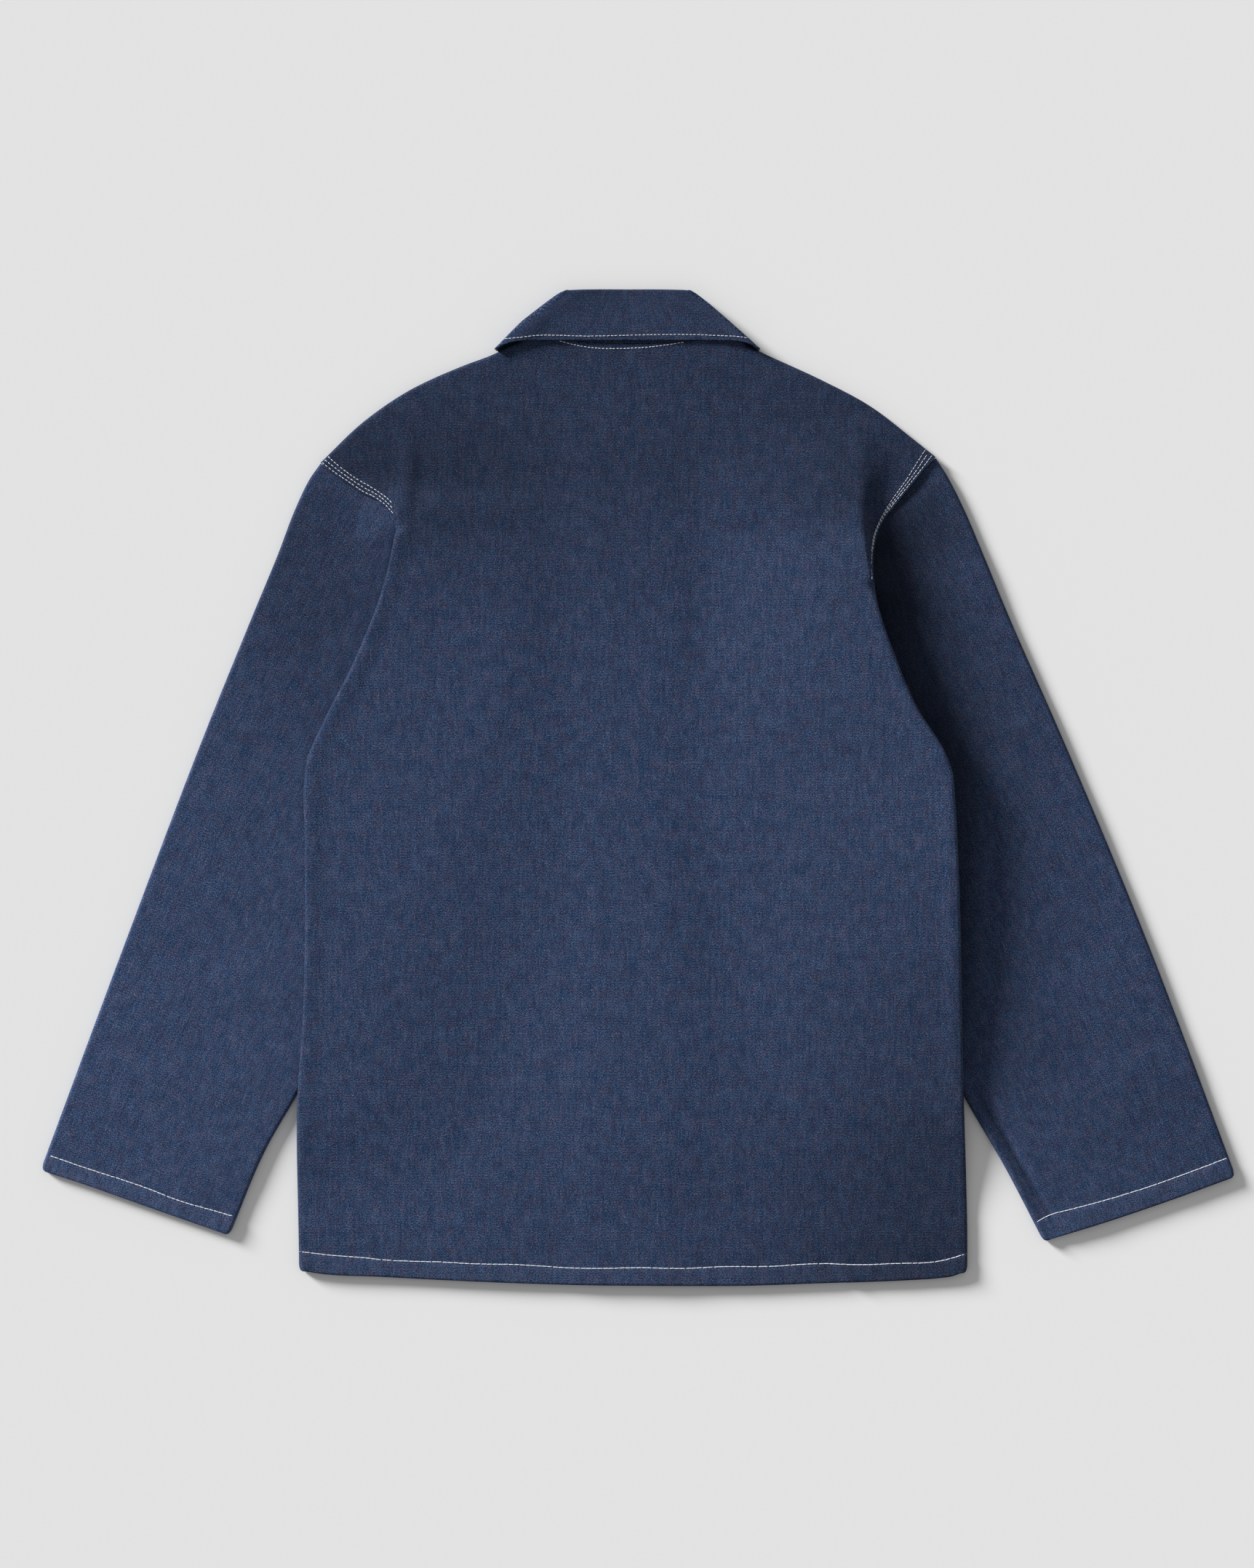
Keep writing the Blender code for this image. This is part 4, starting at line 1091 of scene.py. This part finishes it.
# %%
# Collar
def collar_half(leaf, fold, seam_back, seam_front, sign):
    """Half of the collar's outer face, from the centre of the back round the neck to the front end."""
    fold_radius = (LEAF_REACH - STAND_REACH) / 2
    side_normal = np.array([COLLAR_SLANT[0] * sign, COLLAR_SLANT[1]])
    leaf, fold = np.array(leaf, float), np.array(fold, float)
    leaf[1] -= side_normal * LEAF_REACH * LEAF_FLAT
    fold[1] -= side_normal * (LEAF_REACH + STAND_REACH) / 2
    back_count, front_count, turn_count = 50, 40, 13

    def line(points):
        counts = (back_count, front_count)
        return np.vstack([np.linspace(points[k], points[k + 1], count) for k, count in enumerate(counts)])

    edge, tip = line(leaf), line(fold)
    shift = np.concatenate([np.linspace(0, 1, back_count), np.ones(front_count)])
    drops = np.array(LEAF_DROP)
    drop = np.interp(shift[:back_count], drops[:, 0], drops[:, 1]) / drops[-1, 1]
    edge[:back_count, 1] = leaf[0][1] - drop * (leaf[0][1] - leaf[1][1])
    down = (edge - tip) / np.linalg.norm(edge - tip, axis=1)[:, None]
    inside = tip + down * fold_radius
    seam_front = spline(seam_front, front_count) + np.array([0.6 * -sign, 1.0]) * 2 * SEAM
    seam = np.vstack([spline(seam_back, back_count) + np.array([0, SEAM]), seam_front])
    seam[back_count] = seam[back_count - 1]
    leaf_steps = np.concatenate([np.linspace(0, 0.2, 9), np.linspace(0.2, 1.0, 16)[1:]])
    rings = [(edge + (inside - edge) * q, LEAF_REACH, q, 0) for q in leaf_steps]
    for step in range(1, 10):
        turn = math.pi * step / 10
        reach = (LEAF_REACH + STAND_REACH) / 2 + fold_radius * math.cos(turn)
        rings.append((inside - down * fold_radius * math.sin(turn), reach, 1, step / 10))
    rings += [(inside + (seam - inside) * q, STAND_REACH, 1, 1 + q) for q in np.linspace(0, 1, 10)]
    turns = np.linspace(0, math.pi, turn_count + 2)[1:-1]
    lines = []
    corner = COLLAR_CORNER_LIFT * ease((shift[:back_count] - 0.62) / 0.3)
    for plan, reach, q, stage in rings:
        lifted = corner * (1 - q) ** 1.5 if stage == 0 else 0.0
        above = np.column_stack([plan[:back_count], np.full(back_count, COLLAR_MIDDLE + reach) + lifted])
        flat = LEAF_FLAT + (1 - LEAF_FLAT) * ease(q * 3) if stage == 0 else 1.0
        beside = plan[back_count - 1] + side_normal * (reach * flat * np.sin(turns))[:, None]
        last = above[-1, 2] - COLLAR_MIDDLE
        up = np.where(turns < math.pi / 2, last, reach) * np.cos(turns)
        round_side = np.column_stack([beside, COLLAR_MIDDLE + up])
        below = np.column_stack([plan[back_count:], np.full(front_count, COLLAR_MIDDLE - reach)])
        lines.append(np.vstack([above, round_side, below]))
    skin = np.array(lines, float)
    top = np.array(COLLAR_TOP)
    limit = np.interp(skin[..., 0], top[:, 0], top[:, 1])
    over = np.clip((skin[..., 1] - limit + 2) / 3.5, 0, 1)
    skin[..., 1] = np.where(over > 0, limit - 2 + 2 * (1 - (1 - over) ** 1.75), skin[..., 1])
    behind, beside = 1 - 0.6 * ease(shift[:back_count]), 0.2 * (1 + np.cos(turns))
    sag = np.concatenate([behind, beside, np.zeros(front_count)])
    skin[..., 2] -= COLLAR_SAG * ease((skin[..., 1] - 346) / 44) * sag
    return skin


def make_collar():
    """The collar's shell."""
    ends = (*NECK_FRONT_LEFT[:3], (-8, 286.3)), (*NECK_FRONT_RIGHT[:3], (-2, 286.3))
    left = collar_half(LEAF_EDGE, FOLD_EDGE, NECK_BACK[NECK_MIDDLE::-1], ends[0], -1)
    right = collar_half(LEAF_EDGE_RIGHT, FOLD_EDGE_RIGHT, NECK_BACK[NECK_MIDDLE:], ends[1], 1)
    skin = np.concatenate([left[:, ::-1], right[:, 1:]], 1)
    row = skin.shape[1] // 2
    along = travelled(skin[0])
    up = travelled(skin[:, row])
    down_row = np.arange(len(skin))
    folded = (down_row > COLLAR_FOLD_ROWS[0]) & (down_row < COLLAR_FOLD_ROWS[1])
    walls = np.where(folded, COLLAR_FOLD_WALL, COLLAR_WALL)[:, None]
    cloth = (along[None, :] - along[row], 300 + up[:, None])
    return shell("collar_cloth", skin, walls, (RIGHT_SIDE, RIGHT_SIDE), cloth, COLLAR_TONE)


collar = make_collar()
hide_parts("collar")

# %% [markdown]
# ## Buttons
#
# Five metal buttons. A real one is fixed through the right front and comes out through a buttonhole
# of the left one, which is the outer one, so they lie under both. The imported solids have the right
# shape, and get a dull brass finish.

# %%
# Buttons
BUTTON_COUNT = 5
for number in range(1, BUTTON_COUNT + 1):
    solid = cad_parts[f"button_{number}"]
    solid.data.materials.clear()
    solid.data.materials.append(BRASS)
print(f"{BUTTON_COUNT} buttons in {BRASS.name}")

# %% [markdown]
# ## Sewing
#
# Every seam that shows is sewn with thick off-white thread. A lockstitch shows as one short, slightly
# sunk bar after another, so each stitch is a small capsule with rounded ends. Rows are drawn in plan,
# and a ray from above finds the cloth under both ends of each stitch, so that the thread always lies
# on the cloth. All the stitches of one seam are joined to one mesh.

# %%
# Rows of stitches
ARM_ROWS_LEFT = (
    ((-243.3, 259.4), (-234.6, 251.8), (-220.9, 241.8), (-209.5, 235.3), (-201.1, 229.8), (-196.3, 226.2),
     (-192.5, 222.2)),
    ((-245.7, 256.7), (-236.3, 249.4), (-224, 240.6), (-213.1, 233.8), (-201.7, 227.4), (-196.4, 222.8),
     (-192, 218.2)),
    ((-247.6, 254.3), (-238.4, 247.3), (-226.6, 239.2), (-216.4, 232.4), (-205.1, 226.6), (-199.7, 222.8),
     (-191.3, 214)),
)
ARM_ROWS_RIGHT = (
    ((225.3, 265), (218, 253.6), (209.9, 240.7), (197.9, 223.7), (190.9, 212.3), (185.1, 199),
     (182.3, 183.8), (181.7, 175.3), (182.2, 162)),
    ((228, 263.2), (220.4, 251.8), (211.6, 239.4), (199, 222.8), (191.9, 212.8), (185.6, 199.5),
     (182.8, 183.8), (182.3, 172)),
    ((230.4, 260.4), (222.6, 250.1), (213.3, 238.4), (200.5, 222.6), (192.8, 212.5), (186.3, 199.8),
     (183.3, 186)),
)
NECK_ROW = ((-61.8, 349.7), (-48.7, 346.3), (-39, 344.6), (-28.8, 343.7), (-10, 343.7), (11.7, 345.1),
            (24.8, 346.8), (44.2, 350.3))
COLLAR_ROW = ((-104.6, 350.8), (-92.1, 352), (-77.8, 353.7), (-63.6, 353.7), (-44.7, 353.1), (-10, 353.7),
              (16.2, 354.3), (42.5, 354.3), (68.7, 353.1), (78.9, 352.5), (85.8, 351.4))
print(f"rows down the armholes: {len(ARM_ROWS_LEFT)} and {len(ARM_ROWS_RIGHT)}")


# %%
# Stitches
RAY_HEIGHT = 60.0
DOWN = Vector((0, 0, -1))
STEEPEST = 1.2  # a stitch whose ends differ more in height is left out
STRAY = 0.06  # how far a stitch's ends stray from its row, and its length from the others
SIDES = 6  # of a stitch, all round
# Its sections: share of the way along it, and size
SECTIONS = ((0.0, 0.35), (0.10, 0.80), (0.28, 1.0), (0.72, 1.0), (0.90, 0.80), (1.0, 0.35))
FACES = 32  # of one stitch


def capsule(start, end, up, thick):
    """Vertices and faces of one stitch: a bar with rounded ends, half sunk in the cloth."""
    run = end - start
    length = np.linalg.norm(run)
    along = run / length
    side = np.cross(up, along)
    side /= np.linalg.norm(side)
    top = np.cross(along, side)
    rings = []
    for share, size in SECTIONS:
        middle = start + run * share + top * thick * (0.10 + 0.28 * math.sin(math.pi * share))
        for turn in range(SIDES):
            angle = math.pi * turn / 3
            rings.append(middle + (side * math.cos(angle) + top * math.sin(angle) * 0.8) * size * thick / 2)
    faces = []
    for first in range(0, SIDES * (len(SECTIONS) - 1), SIDES):
        for t in range(SIDES):
            after = (t + 1) % SIDES
            faces.append((first + t, first + after, first + SIDES + after, first + SIDES + t))
    ends = [tuple(range(SIDES - 1, -1, -1)), tuple(range(len(rings) - SIDES, len(rings)))]
    return np.array(rings), faces + ends


def tree_of(*pieces):
    """The shown surfaces of several pieces, for rays, in millimetres."""
    vertices, faces = [], []
    for piece in pieces:
        start = len(vertices)
        vertices += [v.co / MM for v in piece.data.vertices]
        faces += [[start + k for k in p.vertices] for p in piece.data.polygons]
    return BVHTree.FromPolygons(vertices, faces)


def sew(name, rows, ground, pitch, length, thick, seed):
    """Stitches along rows of plan points, laid on the cloth from above."""
    random = np.random.default_rng(seed)
    vertices, faces = [], []
    for row in rows:
        curve = smooth(row, 1500)
        whole = travelled(curve)[-1]
        count = max(int(whole / pitch), 1)
        starts = (np.arange(count) + 0.5 - 0.5 * length / pitch) * whole / count
        starts = starts + random.normal(0, 0.05 * pitch, count)
        sizes = length * random.normal(1, STRAY, count)
        firsts, lasts = sample(curve, starts), sample(curve, starts + sizes)
        firsts += random.normal(0, STRAY, firsts.shape)
        lasts += random.normal(0, STRAY, lasts.shape)
        for first, last in zip(firsts, lasts):
            hits = [ground.ray_cast(Vector((*point, RAY_HEIGHT)), DOWN) for point in (first, last)]
            (begin, turn, _, _), (end, other_turn, _, _) = hits
            if begin is None or end is None or abs(begin.z - end.z) > STEEPEST:
                continue
            up = np.array((turn + other_turn).normalized())
            points, quads = capsule(np.array(begin), np.array(end), up, thick)
            start = len(vertices)
            vertices += (points * MM).tolist()
            faces += [tuple(start + k for k in face) for face in quads]
    mesh = bpy.data.meshes.new(name)
    mesh.from_pydata(vertices, [], faces)
    mesh.shade_smooth()
    mesh.materials.append(THREAD)
    obj = bpy.data.objects.new(name, mesh)
    JACKET.objects.link(obj)
    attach(obj, "root")
    print(f"{name}: {len(faces) // FACES} stitches")
    return obj


back_ground = tree_of(back)
# Name, rows, the cloth that they lie on, pitch, length and thickness of a stitch, and seed
for name, rows, ground, *sizes in (
    ("armhole_stitches_left", ARM_ROWS_LEFT, back_ground, 3.1, 2.25, 0.60, 2),
    ("armhole_stitches_right", ARM_ROWS_RIGHT, back_ground, 2.77, 2.0, 0.46, 3),
    ("hem_stitches", [HEM_ROW], back_ground, 4.3, 4.5, 0.68, 4),
    ("neck_stitches", [NECK_ROW], back_ground, 2.76, 2.1, 0.6, 5),
    ("cuff_stitches_left", [CUFF_ROW_LEFT], tree_of(sleeve_left), 3.8, 4.0, 0.78, 6),
    ("cuff_stitches_right", [CUFF_ROW_RIGHT], tree_of(sleeve_right), 3.8, 4.0, 0.64, 7),
    ("collar_stitches", [COLLAR_ROW], tree_of(collar), 3.03, 2.35, 0.52, 8),
):
    sew(name, rows, ground, *sizes)

# %% [markdown]
# ## The cloth as cut
#
# Denim that is only laid out and rolled at its edges isn't stretched, so a panel's flat area is that
# of its shell's middle, and the sleeves count all round.


# %% [markdown]
# ## Floor, light and camera
#
# A pale, even floor and one wide, soft light, low from the upper left, as from a big window. The rest
# of the room fills the shadows, so that they stay grey. The camera looks straight down from 4 m, as a
# camera over a table does, so that the outline is seen without tilt.

# %%
# The plain surface under the jacket
FLOOR_REACH = 6.0
FLOOR_DROP = 0.2  # under the jacket, in millimetres
corners = [(FLOOR_REACH * x, FLOOR_REACH * y, 0) for x, y in ((-1, -1), (1, -1), (1, 1), (-1, 1))]
floor_mesh = bpy.data.meshes.new("floor")
floor_mesh.from_pydata(corners, [], [(0, 1, 2, 3)])
floor = bpy.data.objects.new("floor", floor_mesh)
bpy.context.scene.collection.objects.link(floor)
floor.location.z = -FLOOR_DROP * MM
paper, paper_tree, paper_shader = plain("pale_floor")
finish(paper_tree, paper_shader, {"Base Color": (0.80, 0.80, 0.80, 1), "Roughness": 1.0,
                                  "Specular IOR Level": 0.0})
floor_mesh.materials.append(paper)
print(f"floor: {2 * FLOOR_REACH:.0f} m wide")

# %%
# One soft light from the upper left, and the room's own light
SUN_TOWARDS = Vector((-0.80, 0.60, 0.0))  # where the light comes from, in plan
SUN_HEIGHT = math.radians(17.5)
SUN_WIDTH = math.radians(16)
SUN_STRENGTH = 6.22
ROOM_STRENGTH = 0.36
key = bpy.data.lights.new("window", "SUN")
key.energy = SUN_STRENGTH
key.angle = SUN_WIDTH
key_object = bpy.data.objects.new("window", key)
bpy.context.scene.collection.objects.link(key_object)
toward = SUN_TOWARDS.normalized() * math.cos(SUN_HEIGHT) + Vector((0, 0, math.sin(SUN_HEIGHT)))
key_object.rotation_euler = toward.to_track_quat("Z", "Y").to_euler()
world = bpy.data.worlds.new("room")
bpy.context.scene.world = world
world.use_nodes = True
room = world.node_tree.nodes["Background"].inputs
room["Color"].default_value = (1, 1, 1, 1)
room["Strength"].default_value = ROOM_STRENGTH
bpy.context.scene.view_settings.view_transform = "Standard"
print(f"light: {math.degrees(SUN_HEIGHT)} degrees up, {math.degrees(SUN_WIDTH):.0f} degrees wide")

# %%
# The camera, straight above
CAMERA_HEIGHT = 4.0
VIEW_HEIGHT = 1.2289  # what the view covers from top to bottom, at the level of the cloth
VIEW_CENTRE = (-8.8, 2.6)
CLOTH_LEVEL = 5
FILM = 24.0  # height of the sensor
camera_data = bpy.data.cameras.new("camera")
camera = bpy.data.objects.new("camera", camera_data)
bpy.context.scene.collection.objects.link(camera)
camera.location = (VIEW_CENTRE[0] * MM, VIEW_CENTRE[1] * MM, CAMERA_HEIGHT)
camera_data.sensor_fit = "VERTICAL"
camera_data.sensor_height = FILM
camera_data.lens = FILM * (CAMERA_HEIGHT - CLOTH_LEVEL * MM) / VIEW_HEIGHT
camera_data.clip_end = 60.0
bpy.context.scene.camera = camera
print(f"camera: {CAMERA_HEIGHT:.0f} m up, lens {camera_data.lens:.1f} mm")
